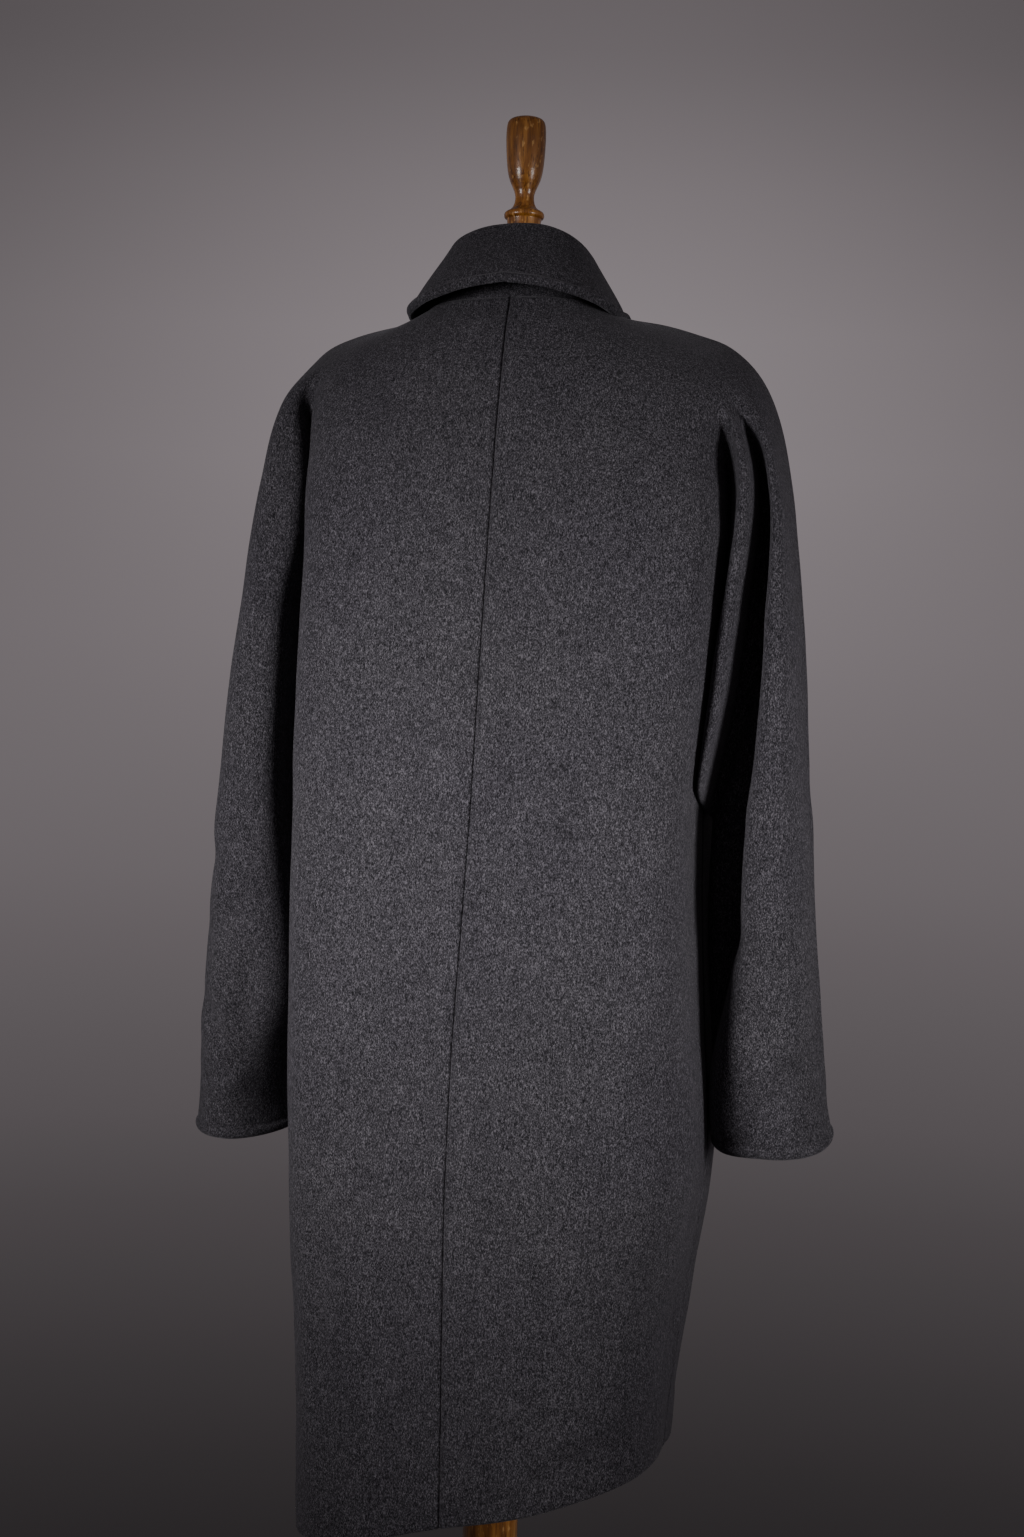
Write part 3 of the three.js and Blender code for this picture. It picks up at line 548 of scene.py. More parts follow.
def shape_cloth(patch):
    """Rounds the panel's folds and adds its creases; returns the depths of its wall and rim."""
    side, face = patch.side, patch.face
    points, quads = patch.points, patch.quads
    outline = np.unique(np.array(edges_of(quads)).ravel())
    points = relax(points, quads, 7, outline)
    normals = normals_of(points, quads, patch.flats)
    zone = np.array([mark[0] for mark in patch.marks])
    place = np.array([mark[1] for mark in patch.marks], dtype=float)
    column = np.array([mark[2] for mark in patch.marks])
    x, y, z = points.T

    on_body = (zone == "body") | ((zone == "upper") & (column <= BODY_LAST))
    on_arm = (zone == "sleeve") | ((zone == "upper") & (column >= FOLD_LAST))
    from_side = smoothstep(4, 34, np.abs(y))
    field = np.where(on_body, crease_field(x, z, CREASES[face]), 0) * from_side
    arm = crease_field(x, z, CREASES[0]) * smoothstep(2, 24, np.abs(y + 30 * (1 - smoothstep(730, 1020, z))))
    field += np.where(on_arm, arm * (1 - smoothstep(1180, 1320, z)), 0)
    slow = wander(points, 0.011, 2 + face) + 0.5 * wander(points, 0.027, 5 + face)
    field += 0.9 * slow * from_side * (1 - smoothstep(1300, 1440, z))

    # the skirt's hem waves a little
    hem = np.where(zone == "body", (1 - place) * (UNDERARM_Z - HEM_Z), 1e3)
    wave = np.sin(x / 31 + 1.1 * face) + 0.6 * np.sin(x / 17 + 2.3 * side)
    field += np.where(zone == "body", 1.2 * wave * np.exp(-hem / 120) * from_side, 0)
    points = points + normals * field[:, None]
    points[:, 2] += np.where(zone == "body", 1.1 * np.sin(x / 23 + face) * np.exp(-hem / 30) * from_side, 0)

    outer = np.zeros(len(points))
    inner = np.full(len(points), CLOTH)
    flats = np.array(patch.flats)

    # turned hem, with a soft step where the turning ends
    outer += np.where(hem < 60, 0.55 * (1 - smoothstep(34, 42, hem)), 0)
    # cuff: rolled edge with a row of stitching above it
    cuff = np.where(zone == "sleeve", (1 - place) * (UNDERARM_Z - CUFF_Z[side]), 1e3)
    cuff_roll = 1.5 * np.exp(-(((cuff - 3.4) / 3) ** 2)) - 1.0 * np.exp(-(((cuff - 8.4) / 1.4) ** 2))
    outer += np.where(cuff < 40, cuff_roll, 0)
    inner += 1.3 * (1 - smoothstep(6, 9, cuff)) + 1.2 * (1 - smoothstep(34, 42, hem))
    # centre back seam: a groove, and on the wearer's right the raised allowance beside it
    width = np.where(column <= BODY_LAST, BODY_SHARES[np.minimum(column, BODY_LAST)] * 205, 1e3)
    width = np.where(zone == "sleeve", 1e3, width)
    if face > 0:
        outer += -1.5 * np.exp(-((width / 1.5) ** 2))
        if side < 0:
            outer += 1.3 * np.exp(-(((width - 4.2) / 2.8) ** 2)) - 0.5 * np.exp(-(((width - 10.5) / 2.4) ** 2))
        # the neck seam stands up as a soft roll
        neck = np.where(zone == "upper", place * 23, 1e3)
        outer += 2.2 * np.exp(-(((neck - 3.2) / 3) ** 2)) * (1 - smoothstep(60, 78, np.abs(x)))
    else:
        front_edge = 0.4 * np.exp(-(((width - 3) / 3) ** 2)) - 0.5 * np.exp(-(((width - 9) / 1.4) ** 2))
        outer += np.where(width < 40, front_edge, 0)
    rim = np.full(len(points), LOOSE_RIM)
    seam = (flats == "x") | (flats == "y")
    rim[seam] = SEAM_RIM
    rim[patch.neck] = SEAM_RIM
    outer[flats == "y"] -= 0.5
    on_edge = np.zeros(len(points), dtype=bool)
    on_edge[outline] = True
    loose = on_edge & ~seam
    loose[patch.neck] = False
    outer[loose] -= 0.5
    inner[loose] -= 0.5
    return points, outer, inner, rim


def cloth_piece(name, node, points, quads, flats, outer, inner, rim):
    piece = wall(name, points, quads, flats, outer, inner, rim, WOOL)
    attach(piece, "root")
    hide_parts(node)
    return piece


# Collar, by place round the neck: 0 at the centre back, 0.5 at the shoulder seams, 1 at the centre front
COLLAR = Table(
    "place fold lean out up spread",
    [
        [0, 70, 17, 29, 10, 0],
        [0.11, 68.5, 18, 28, 6.5, 0],
        [0.22, 64.5, 20, 25.5, 0.5, 0],
        [0.38, 58, 21, 22, -6, 0],
        [0.5, 54, 20, 20, -4, 0],
        [0.65, 49, 14, 31, -7, 1],
        [0.8, 46, 8, 41, -16, 7],
        [1, 40, 5, 45, -41, 34],
    ],
)
ROLL_RADIUS = 6.5
COLLAR_FOOT = 2.5
TOP_COLLAR = 2
UNDER_COLLAR = 1.7
COLLAR_DEPTH = TOP_COLLAR + SEAM_GAP + UNDER_COLLAR
STAND_SHARES = np.linspace(0, 1, 9)
ROLL_SHARES = np.linspace(0, 1, 15)[1:]
FALL_SHARES = with_edges(22, end=True, near=[0.012, 0.03, 0.055, 0.08, 0.11, 0.15, 0.2])[1:]
FRONT_START = YOKE_BODY_SHARE * 2 / 7


def neck_seam(patch, points):
    """Seam points on one panel's neck edge: place, point, way into the neck, outward normal and radial."""
    side, face = patch.side, patch.face
    normals = normals_of(points, patch.quads, patch.flats)
    first = 0 if face > 0 else FRONT_START
    columns = [c for c in range(0, PANEL_LAST + 1) if COLUMN_SHARES[c] >= first - 1e-9]
    columns = sorted(set(columns[::2]) | {columns[0], PANEL_LAST})
    seam = []
    for column in columns:
        index = patch.neck[column]
        share = (COLUMN_SHARES[column] - first) / (1 - first)
        along = points[patch.neck[min(column + 1, PANEL_LAST)]] - points[patch.neck[max(column - 1, 0)]]
        flat = patch.flats[index]
        if flat:
            along[1 if flat == "x" else 0] = 0
        inward = np.cross(normals[index], along) * (-side * face)
        radial = np.array([along[1], -along[0], 0]) * (-side * face)
        seam.append(
            {
                "place": side * (share / 2 if face > 0 else 1 - share / 2),
                "point": points[index],
                "inward": inward / np.linalg.norm(inward),
                "outward": normals[index],
                "radial": radial / np.linalg.norm(radial),
            }
        )
    return seam


def bezier(a, b, c, d, shares):
    t = np.asarray(shares)[:, None]
    return a * (1 - t) ** 3 + 3 * b * t * (1 - t) ** 2 + 3 * c * t * t * (1 - t) + d * t**3


def collar_section(place, foot, inward):
    at = lambda column: COLLAR.at("place", column, abs(place))
    roll_in = np.array([-at("lean") - ROLL_RADIUS, at("fold") - ROLL_RADIUS])
    rise = np.array([0, 0.4 * at("fold")])
    stand = bezier(foot, foot + 6 * inward, roll_in - rise, roll_in, STAND_SHARES)
    centre = roll_in + [ROLL_RADIUS, 0]
    roll_end = math.radians(30)
    angles = mix(np.pi, roll_end, ROLL_SHARES)
    roll = centre + ROLL_RADIUS * np.column_stack([np.cos(angles), np.sin(angles)])
    last = roll[-1]
    droop = 3.5 * np.exp(-(((place + 0.42) / 0.14) ** 2))
    edge = np.array([at("out") - 0.6 * droop, at("up") - droop])
    reach = 0.35 * np.linalg.norm(edge - last)
    leave = np.array([math.sin(roll_end), -math.cos(roll_end)]) * reach
    arrive = np.array([-0.45, 0.9]) * reach
    fall = bezier(last, last + leave, edge + arrive, edge, FALL_SHARES)
    return np.vstack([stand, roll, fall])


def collar_skin(seam):
    across = len(STAND_SHARES) + len(ROLL_SHARES) + len(FALL_SHARES) + 1
    points = []
    for s in seam:
        spread = COLLAR.at("place", "spread", abs(s["place"]))
        flat = lambda vector: np.array([vector @ s["radial"], vector[2]])
        base = s["point"] + s["inward"] * SEAM_GAP - s["outward"] * COLLAR_DEPTH
        foot = base + s["inward"] * COLLAR_FOOT
        inward = flat(s["inward"])
        section = collar_section(s["place"], flat(foot - s["point"]), inward / np.linalg.norm(inward))
        fallen = np.concatenate([np.zeros(len(STAND_SHARES) + len(ROLL_SHARES)), FALL_SHARES])
        placed = s["point"] + s["radial"] * section[:, :1]
        placed[:, 2] += section[:, 1]
        placed[:, 0] += np.sign(s["place"]) * spread * fallen
        placed[0] = foot
        points += [base[None], placed]
    points = np.vstack(points)
    corners = (np.arange(len(seam) - 1)[:, None] * across + np.arange(across - 1)).ravel()
    quads = np.column_stack([corners, corners + across, corners + across + 1, corners + 1])
    return points, quads, across


def edge_distance(points, across):
    """How far each point lies from the collar's outer edge, along its own section."""
    grid = points.reshape(-1, across, 3)
    steps = np.linalg.norm(np.diff(grid, axis=1), axis=2)
    back = np.concatenate([np.cumsum(steps[:, ::-1], axis=1)[:, ::-1], np.zeros((len(grid), 1))], axis=1)
    return back.ravel()


# Turned wood: radius and height of each profile point
FINIAL = [
    [0, 1533.3], [15.2, 1533.3], [15.2, 1556], [15.6, 1561.4], [17.6, 1562.2], [18.4, 1564], [18.2, 1566.4], [16.9, 1567.8],
    [13.6, 1569.6], [11, 1572], [9.3, 1575.5], [8.5, 1580], [8.7, 1583.5], [9.8, 1587.5], [11.6, 1591.5], [13.4, 1595.5],
    [14.9, 1600], [16, 1605], [16.8, 1611], [17.4, 1618], [17.9, 1626], [18.2, 1634], [18.1, 1641], [17.7, 1646.5],
    [16.9, 1649.8], [15.2, 1651.9], [12, 1653.2], [7, 1653.9], [0, 1654],
]
NECK_CAP = [[0, 1520.3], [40, 1520.3], [43, 1523], [43, 1529], [40, 1533], [0, 1533]]
POLE = [
    [0, 34.3], [38, 34.3], [40, 40], [34, 52], [27, 70], [25, 100], [25, 740], [27, 752], [36, 766], [46, 776],
    [46, 789.7], [0, 789.7],
]
BASE = [[0, 0], [214, 0], [220, 5], [220, 16], [212, 25], [196, 30], [120, 34], [0, 34]]


def filleted(profile, radius, steps=6):
    """The profile with each inner corner rounded off."""
    profile = np.array(profile, dtype=float)
    rounded = [profile[0]]
    for before, corner, after in zip(profile, profile[1:], profile[2:]):
        a, b = before - corner, after - corner
        la, lb = np.linalg.norm(a), np.linalg.norm(b)
        reach = min(radius, 0.48 * la, 0.48 * lb)
        start, end = corner + a / la * reach, corner + b / lb * reach
        for t in np.linspace(0, 1, steps):
            rounded.append(start * (1 - t) ** 2 + 2 * corner * t * (1 - t) + end * t * t)
    rounded.append(profile[-1])
    return np.array(rounded)


def turned(name, profile, segments, material):
    angle = np.linspace(0, 2 * np.pi, segments, endpoint=False)
    rings = profile[1:-1]
    ring_points = [np.column_stack([r * np.cos(angle), r * np.sin(angle), np.full(segments, z)]) for r, z in rings]
    points = np.vstack([[[0, 0, profile[0][1]]], *ring_points, [[0, 0, profile[-1][1]]]])
    faces = []
    last = len(points) - 1
    for i in range(segments):
        j = (i + 1) % segments
        faces.append([0, 1 + j, 1 + i])
        for k in range(len(rings) - 1):
            a, b = 1 + k * segments, 1 + (k + 1) * segments
            faces.append([a + i, a + j, b + j, b + i])
        top = 1 + (len(rings) - 1) * segments
        faces.append([top + i, top + j, last])
    return make_mesh(name, points, faces, material)


FORM_NECK = [[1520, 1520, 53, 43, 50], [1506, 1490, 53, 44, 52], [1491, 1440, 56, 50, 60]]
FORM_BODY = [
    [1345, 1345, 171, 92, 104],
    [1290, 1290, 160, 92, 112],
    [1220, 1220, 152, 90, 120],
    [1130, 1130, 132, 84, 100],
    [1060, 1060, 126, 84, 92],
    [980, 980, 142, 100, 100],
    [900, 900, 160, 114, 108],
    [840, 840, 163, 114, 108],
    [800, 800, 158, 108, 103],
    [790, 790, 146, 96, 92],
]
FORM_CELLS = 40
FORM_POWER = 2.3


def form_ring(z, z_front, half, back, front):
    shares = np.linspace(0, 1, FORM_CELLS + 1)

    def quarter(side, face):
        arc = respace(rounded_arc((0, 0), half, back if face > 0 else front, FORM_POWER, 90, 0), shares)
        height = np.full(FORM_CELLS + 1, z) if face > 0 else mix(z_front, z, shares**1.5)
        return np.column_stack([side * arc[:, 0], face * arc[:, 1], height])

    return np.vstack(
        [quarter(1, 1), quarter(1, -1)[::-1][1:], quarter(-1, -1)[1:], quarter(-1, 1)[::-1][1:-1]]
    )


def form_ring_under_cloth(row):
    """Ring inside the cloth's own row, clear of it."""
    shares = np.linspace(0, 1, FORM_CELLS + 1)

    def quarter(side, face):
        here, above, below = (upper_row(side, face, r) for r in (row, max(row - 0.05, 0), row + 0.05))
        down = below - above
        across = np.gradient(here, axis=0)
        normal = np.cross(down, across)
        normal *= np.sign((normal @ np.array([1.0, 1.0, 0.6])))[:, None]
        normal /= np.linalg.norm(normal, axis=1, keepdims=True)
        depth = CLOTH + 1.4 + (4.2 if row < 0.2 else 0)
        points = here - normal * depth
        points[:, 1] -= (1.6 * (1 - smoothstep(20, 60, here[:, 0]))) if face < 0 else 0
        keep = points[:, 0] >= 0
        points = points[keep]
        points[0, 0] = 0
        lengths = np.concatenate([[0], np.cumsum(np.hypot(*np.diff(points[:, :2], axis=0).T))])
        at = shares * lengths[-1]
        spaced = np.column_stack([np.interp(at, lengths, points[:, i]) for i in range(3)])
        spaced[-1, 1] = 0
        return spaced * [side, face, 1]

    return np.vstack(
        [quarter(1, 1), quarter(1, -1)[::-1][1:], quarter(-1, -1)[1:], quarter(-1, 1)[::-1][1:-1]]
    )


def loft(name, rings, material):
    around = len(rings[0])
    points = np.vstack(rings)
    faces = []
    for i in range(len(rings) - 1):
        for j in range(around):
            a, b = i * around + j, i * around + (j + 1) % around
            faces.append([a, b, b + around, a + around])
    points = np.vstack([points, rings[0].mean(axis=0), rings[-1].mean(axis=0)])
    top, last = len(points) - 2, (len(rings) - 1) * around
    for j in range(around):
        k = (j + 1) % around
        faces.append([top, k, j])
        faces.append([top + 1, last + j, last + k])
    return make_mesh(name, points, faces, material)


# Materials


def new_material(name):
    material = bpy.data.materials.new(name)
    material.use_nodes = True
    tree = material.node_tree
    return material, tree, tree.nodes["Principled BSDF"]


def add(tree, kind, **settings):
    node = tree.nodes.new(kind)
    for key, value in settings.items():
        setattr(node, key, value)
    return node


def noise_node(tree, vector, scale, detail=2.0, roughness=0.5, stretch=(1, 1, 1)):
    mapping = add(tree, "ShaderNodeMapping")
    mapping.inputs["Scale"].default_value = stretch
    tree.links.new(vector, mapping.inputs["Vector"])
    node = add(tree, "ShaderNodeTexNoise")
    node.inputs["Scale"].default_value = scale
    node.inputs["Detail"].default_value = detail
    node.inputs["Roughness"].default_value = roughness
    tree.links.new(mapping.outputs["Vector"], node.inputs["Vector"])
    return node.outputs["Fac"]


def ramp_node(tree, factor, stops):
    node = add(tree, "ShaderNodeValToRGB")
    elements = node.color_ramp.elements
    while len(elements) < len(stops):
        elements.new(0.5)
    for element, (position, color) in zip(elements, stops):
        element.position = position
        element.color = (*color, 1)
    tree.links.new(factor, node.inputs["Fac"])
    return node.outputs["Color"]


def math_node(tree, operation, a, b):
    node = add(tree, "ShaderNodeMath", operation=operation)
    for socket, value in zip(node.inputs, (a, b)):
        if isinstance(value, (int, float)):
            socket.default_value = value
        else:
            tree.links.new(value, socket)
    return node.outputs[0]


def mix_color(tree, factor, a, b, blend="MIX"):
    node = add(tree, "ShaderNodeMix", data_type="RGBA", blend_type=blend)
    for index, value in ((0, factor), (6, a), (7, b)):
        socket = node.inputs[index]
        if isinstance(value, (int, float)):
            socket.default_value = value
        elif isinstance(value, tuple):
            socket.default_value = (*value, 1)
        else:
            tree.links.new(value, socket)
    return node.outputs[2]


def bump(tree, shader, height, strength, distance):
    node = add(tree, "ShaderNodeBump")
    node.inputs["Strength"].default_value = strength
    node.inputs["Distance"].default_value = distance
    tree.links.new(height, node.inputs["Height"])
    tree.links.new(node.outputs["Normal"], shader.inputs["Normal"])


def wool_material():
    """Brushed melange coating: fine flecks, soft downward nap and a faint cloudiness."""
    material, tree, shader = new_material("wool_melange")
    place = add(tree, "ShaderNodeTexCoord").outputs["Object"]
    fleck = noise_node(tree, place, 1150, 2, 0.6, (1, 1, 0.5))
    nap = noise_node(tree, place, 420, 3, 0.6, (1, 1, 0.5))
    cloud = noise_node(tree, place, 26, 4, 0.6, (1, 1, 0.7))
    broad = noise_node(tree, place, 5, 2, 0.5)
    fibre = noise_node(tree, place, 1500, 1, 0.5, (1, 1, 0.45))
    mixed = math_node(tree, "ADD", math_node(tree, "MULTIPLY", fleck, 0.74), math_node(tree, "MULTIPLY", nap, 0.26))
    color = ramp_node(
        tree, mixed, [(0.36, WOOL_DARK), (0.48, WOOL_MIDDLE), (0.56, WOOL_LIGHT), (0.66, WOOL_FLECK)]
    )
    glint = ramp_node(tree, fibre, [(0.66, (0, 0, 0)), (0.78, (1, 1, 1))])
    color = mix_color(tree, glint, color, WOOL_FIBRE)
    shade = ramp_node(tree, cloud, [(0.3, (0.86, 0.86, 0.87)), (0.7, (1.0, 1.0, 1.0))])
    color = mix_color(tree, 1.0, color, shade, "MULTIPLY")
    tone = ramp_node(tree, broad, [(0.35, (0.93, 0.92, 0.94)), (0.65, (1.0, 1.0, 0.99))])
    color = mix_color(tree, 1.0, color, tone, "MULTIPLY")
    tree.links.new(color, shader.inputs["Base Color"])
    shader.inputs["Roughness"].default_value = 0.92
    shader.inputs["Specular IOR Level"].default_value = 0.12
    shader.inputs["Sheen Weight"].default_value = 0.16
    shader.inputs["Sheen Roughness"].default_value = 0.42
    shader.inputs["Sheen Tint"].default_value = (0.72, 0.70, 0.76, 1)
    height = math_node(tree, "ADD", math_node(tree, "MULTIPLY", mixed, 1.0), math_node(tree, "MULTIPLY", fibre, 0.3))
    bump(tree, shader, height, 0.55, 0.0007)
    return material


def wood_material():
    """Varnished brown hardwood with long grain and short pale ray flecks."""
    material, tree, shader = new_material("varnished_wood")
    place = add(tree, "ShaderNodeTexCoord").outputs["Object"]
    grain = noise_node(tree, place, 120, 5, 0.6, (1, 1, 0.09))
    pores = noise_node(tree, place, 700, 2, 0.6, (1, 1, 0.06))
    rays = noise_node(tree, place, 330, 2, 0.5, (1, 0.5, 0.42))
    color = ramp_node(
        tree, grain, [(0.3, (0.14, 0.045, 0.007)), (0.5, (0.37, 0.14, 0.021)), (0.68, (0.6, 0.27, 0.055))]
    )
    dark = ramp_node(tree, pores, [(0.32, (0.35, 0.3, 0.26)), (0.46, (1, 1, 1))])
    color = mix_color(tree, 1.0, color, dark, "MULTIPLY")
    fleck = ramp_node(tree, rays, [(0.6, (0, 0, 0)), (0.7, (1, 1, 1))])
    color = mix_color(tree, math_node(tree, "MULTIPLY", fleck, 0.55), color, (0.9, 0.5, 0.17))
    tree.links.new(color, shader.inputs["Base Color"])
    shader.inputs["Roughness"].default_value = 0.34
    shader.inputs["Coat Weight"].default_value = 0.7
    shader.inputs["Coat Roughness"].default_value = 0.21
    bump(tree, shader, math_node(tree, "ADD", pores, grain), 0.12, 0.0006)
    return material


def linen_material():
    """Plain woven cover of the dress form."""
    material, tree, shader = new_material("linen_cover")
    place = add(tree, "ShaderNodeTexCoord").outputs["Object"]
    warp = noise_node(tree, place, 900, 1, 0.5, (1, 1, 0.05))
    weft = noise_node(tree, place, 900, 1, 0.5, (0.05, 0.05, 1))
    slub = noise_node(tree, place, 90, 3, 0.6)
    weave = math_node(tree, "ADD", math_node(tree, "MULTIPLY", warp, 0.5), math_node(tree, "MULTIPLY", weft, 0.5))
    color = ramp_node(tree, weave, [(0.35, (0.42, 0.36, 0.27)), (0.65, (0.66, 0.59, 0.47))])
    tone = ramp_node(tree, slub, [(0.3, (0.88, 0.87, 0.85)), (0.7, (1, 1, 1))])
    color = mix_color(tree, 1.0, color, tone, "MULTIPLY")
    tree.links.new(color, shader.inputs["Base Color"])
    shader.inputs["Roughness"].default_value = 0.9
    shader.inputs["Specular IOR Level"].default_value = 0.15
    bump(tree, shader, weave, 0.5, 0.0006)
    return material


def horn_material():
    """Dark mottled horn of the buttons."""
    material, tree, shader = new_material("dark_horn")
    place = add(tree, "ShaderNodeTexCoord").outputs["Object"]
    streak = noise_node(tree, place, 160, 4, 0.6, (0.4, 1, 1))
    color = ramp_node(
        tree, streak, [(0.35, (0.006, 0.005, 0.005)), (0.6, (0.022, 0.018, 0.016)), (0.75, (0.06, 0.042, 0.03))]
    )
    tree.links.new(color, shader.inputs["Base Color"])
    shader.inputs["Roughness"].default_value = 0.32
    bump(tree, shader, streak, 0.08, 0.0004)
    return material


def floor_material():
    material, tree, shader = new_material("pale_floor")
    place = add(tree, "ShaderNodeTexCoord").outputs["Object"]
    soft = noise_node(tree, place, 3, 4, 0.6)
    color = ramp_node(tree, soft, [(0.3, (0.56, 0.55, 0.55)), (0.7, (0.62, 0.61, 0.61))])
    tree.links.new(color, shader.inputs["Base Color"])
    shader.inputs["Roughness"].default_value = 0.85
    return material


WOOL_DARK = (0.008, 0.0075, 0.0094)
WOOL_MIDDLE = (0.036, 0.034, 0.039)
WOOL_LIGHT = (0.076, 0.071, 0.081)
WOOL_FLECK = (0.16, 0.151, 0.167)
WOOL_FIBRE = (0.17, 0.165, 0.175)
WOOL = wool_material()
WOOD = wood_material()
LINEN = linen_material()
HORN = horn_material()

# Camera: where the photograph was taken from, level, with a slight roll
CAMERA_DISTANCE = 1.95
CAMERA_HEIGHT = 1.06
CAMERA_SWING = math.radians(14)
CAMERA_ROLL = math.radians(1.487)
camera = bpy.data.objects.new("camera", bpy.data.cameras.new("camera"))
bpy.context.collection.objects.link(camera)
look = Vector((math.sin(CAMERA_SWING), -math.cos(CAMERA_SWING), 0))
right = look.cross(Vector((0, 0, 1)))
turn = Matrix((right, (0, 0, 1), -look)).transposed().to_4x4() @ Matrix.Rotation(CAMERA_ROLL, 4, "Z")
camera.matrix_world = Matrix.Translation(-look * CAMERA_DISTANCE + Vector((0, 0, CAMERA_HEIGHT))) @ turn
camera.data.sensor_width = 36
camera.data.lens = 50
camera.data.shift_x = 0.0014
camera.data.clip_start = 0.05
bpy.context.scene.camera = camera

# Cloth
PANELS = {
    "back_left": (1, 1),
    "back_right": (-1, 1),
    "front_left": (1, -1),
    "front_right": (-1, -1),
}
seams = {}
shaped = {}
for node, (side, face) in PANELS.items():
    patch = panel(side, face)
    points, outer, inner, rim = shape_cloth(patch)
    shaped[node] = (patch, points)
    seams[node] = neck_seam(patch, points)
    cloth_piece(
        "coat_" + node, node, points, patch.quads, patch.flats, outer, inner, rim
    )

whole_seam = (
    seams["front_right"]
    + seams["back_right"][::-1][1:]
    + seams["back_left"][1:]
    + seams["front_left"][::-1][1:]
)
collar_points, collar_quads, across = collar_skin(whole_seam)
collar_outline = np.unique(np.array(edges_of(collar_quads)).ravel())
collar_points = relax(collar_points, collar_quads, 3, collar_outline)
from_edge = edge_distance(collar_points, across)
outer = 3.1 * np.exp(-(((from_edge - 3.6) / 3.1) ** 2)) - 0.7 * np.exp(-(((from_edge - 10.4) / 2.2) ** 2))
outer += 0.35 * wander(collar_points, 0.03, 11) * smoothstep(0, 6, from_edge)
outer -= 0.9 * np.exp(-((from_edge / 0.9) ** 2))
inner = TOP_COLLAR + (COLLAR_DEPTH - TOP_COLLAR + 0.9) * (1 - smoothstep(3.6, 5.4, from_edge))
inner -= 0.9 * np.exp(-((from_edge / 0.9) ** 2))
rim = np.where(from_edge < 0.5, 1.9, 0.5)
rim[::across] = 0.05
cloth_piece(
    "coat_top_collar", "top_collar", collar_points, collar_quads, [], outer, inner, rim
)

# the under collar stops short of the rolled edge
under_rows = int((from_edge.reshape(-1, across).min(axis=0) > 6.2).sum())
under_keep = (np.arange(len(collar_points)) % across) < under_rows
renumber = np.cumsum(under_keep) - 1
under_quads = renumber[collar_quads[under_keep[collar_quads].all(axis=1)]]
under_points = collar_points[under_keep]
under_outer = np.full(len(under_points), -(TOP_COLLAR + SEAM_GAP))
cloth_piece(
    "coat_under_collar", "under_collar", under_points, under_quads, [], under_outer,
    np.full(len(under_points), COLLAR_DEPTH), np.full(len(under_points), 0.1),
)

# Dress form and stand
key_rings = [form_ring(*ring) for ring in FORM_NECK]
key_rings += [form_ring_under_cloth(row) for row in (0, 0.5, 1, 1.5, 2, 2.5, 3, 3.4)]
key_rings += [form_ring(*ring) for ring in FORM_BODY]
rings = [key_rings[0]]
for before, after in zip(key_rings, key_rings[1:]):
    rings += [mix(before, after, share) for share in np.linspace(0, 1, 5)[1:]]
form = loft("form_body", rings, LINEN)
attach(form, "root")
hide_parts("form_torso")
for node, profile, radius, segments in (
    ("finial", FINIAL, 0.9, 96),
    ("neck_cap", NECK_CAP, 1.5, 96),
    ("pole", POLE, 8, 72),
    ("base", BASE, 6, 128),
):
    piece = turned("stand_" + node, filleted(profile, radius), segments, WOOD)
    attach(piece, "root")
    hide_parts(node)

# Buttons
BUTTON_PROFILE = [[0, 0.4], [12.2, 0.4], [13.9, 1.5], [14, 2.7], [13.1, 3.9], [11.6, 4], [10.3, 3.1], [5, 2.7], [0, 2.6]]
patch, points = shaped["front_right"]
body_rows = points[: len(UPPER_PLACES) * (PANEL_LAST + 1)].reshape(len(UPPER_PLACES), -1, 3)[:, : BODY_LAST + 1]
lower = points[len(UPPER_PLACES) * (PANEL_LAST + 1) :][: len(LOWER_SHARES) * (BODY_LAST + 1)]
body_rows = np.vstack([body_rows, lower.reshape(len(LOWER_SHARES), BODY_LAST + 1, 3)])
line = np.array([[np.interp(0, row[::-1, 0], row[::-1, 1]), np.interp(0, row[::-1, 0], row[::-1, 2])] for row in body_rows])
for index, height in enumerate(BUTTON_HEIGHTS):
    order = np.argsort(line[:, 1])
    y_at = lambda z: float(np.interp(z, line[order, 1], line[order, 0]))
    slope = Vector((0, y_at(height - 12) - y_at(height + 12), -24)).normalized()
    outward = Vector((0, slope.z, -slope.y))
    piece = turned(f"coat_button_{index + 1}", filleted(BUTTON_PROFILE, 0.8, 4), 48, HORN)
    spot = Vector((0, y_at(height), height)) * MM + outward * 0.0006
    place = Matrix.Translation(spot) @ Vector((0, 0, 1)).rotation_difference(outward).to_matrix().to_4x4()
    piece.data.transform(place)
    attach(piece, "root")
    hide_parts(f"button_{index + 1}")

# Floor, lights and surroundings
floor = turned("floor", np.array([[0, -4], [940, -4], [940, -0.2], [0, -0.2]]), 96, floor_material())


def area_light(name, place, target, size, power, color=(1, 1, 1)):
    data = bpy.data.lights.new(name, "AREA")
    data.shape = "RECTANGLE"
    data.size, data.size_y = size
    data.energy = power
    data.color = color
    light = bpy.data.objects.new(name, data)
    bpy.context.collection.objects.link(light)
    light.location = place
    light.rotation_euler = (Vector(target) - Vector(place)).to_track_quat("-Z", "Y").to_euler()
    light.visible_camera = False
    return light


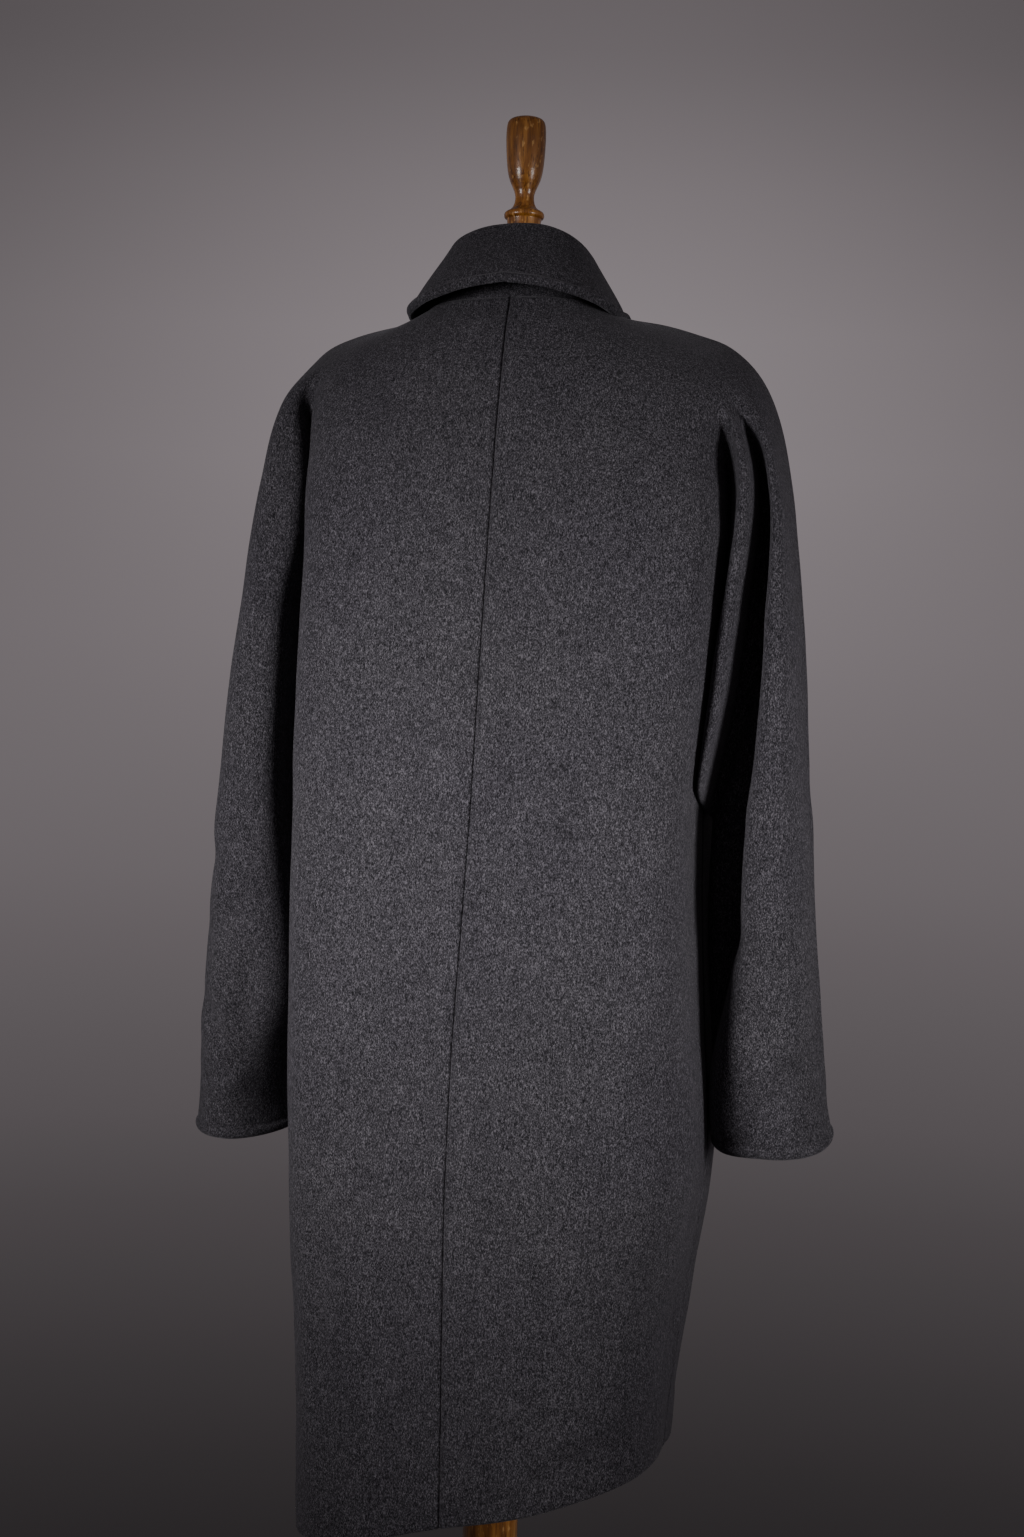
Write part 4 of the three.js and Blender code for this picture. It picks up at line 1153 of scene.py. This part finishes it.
SOFTBOX_SPREAD = math.radians(50)
SOFTBOX_COLOR = (1, 0.985, 0.99)
left_box = area_light("softbox_left", (0.74, 1.22, 1.1), (0, 0.08, 0.99), (0.4, 0.72), 2.25, SOFTBOX_COLOR)
right_box = area_light("softbox_right", (-1.3, 0.62, 1.06), (0, 0.08, 0.97), (0.4, 0.72), 1.6, SOFTBOX_COLOR)
left_box.data.spread = right_box.data.spread = SOFTBOX_SPREAD
front_fill = area_light("front_fill", (0.8, -3.4, 1.7), (0, 0, 1.0), (2.0, 2.0), 22)
front_fill.visible_glossy = False

# Grey surroundings with painted light: a painted pool of light, brightest behind the shoulders, and painted shade,
# darker to the sides, the top and the floor
world = bpy.data.worlds.new("studio")
bpy.context.scene.world = world
world.use_nodes = True
tree = world.node_tree
background = tree.nodes["Background"]
direction = add(tree, "ShaderNodeTexCoord").outputs["Generated"]
split = add(tree, "ShaderNodeSeparateXYZ")
tree.links.new(direction, split.inputs["Vector"])
sideways = add(tree, "ShaderNodeVectorMath", operation="DOT_PRODUCT")
tree.links.new(direction, sideways.inputs[0])
sideways.inputs[1].default_value = right
off = math_node(tree, "SUBTRACT", sideways.outputs["Value"], 0.02)
off = math_node(tree, "MULTIPLY", math_node(tree, "MULTIPLY", off, off), -1 / 0.245**2)
glow = math_node(tree, "EXPONENT", off, 0)
place = math_node(tree, "ADD", split.outputs["Z"], 0.5)
# painted light: the backdrop's brightness falling off upwards and downwards from the softboxes' beam
BACKDROP_LIGHT_FALLOFF = [(0.15, 0.024), (0.19, 0.033), (0.23, 0.045), (0.26, 0.056), (0.3, 0.071), (0.34, 0.092), (0.37, 0.103), (0.41, 0.12),
             (0.45, 0.136), (0.49, 0.146), (0.56, 0.145), (0.64, 0.129), (0.71, 0.106), (0.81, 0.073), (0.9, 0.06)]
# painted light: a pool of light painted behind the shoulders, narrowed to the sides by glow
BACKDROP_LIGHT_POOL = [(0.42, 0.0), (0.49, 0.012), (0.56, 0.055), (0.64, 0.11), (0.7, 0.128), (0.76, 0.105), (0.82, 0.07), (0.95, 0.03)]
base = ramp_node(tree, place, [(at, (tone * 1.07, tone * 0.945, tone * 0.995)) for at, tone in BACKDROP_LIGHT_FALLOFF])
extra = ramp_node(tree, place, [(at, (tone * 1.07, tone * 0.945, tone * 0.995)) for at, tone in BACKDROP_LIGHT_POOL])
shade = mix_color(tree, 1.0, base, mix_color(tree, glow, (0.0, 0.0, 0.0), extra), "ADD")
tree.links.new(shade, background.inputs["Color"])
background.inputs["Strength"].default_value = 1.0
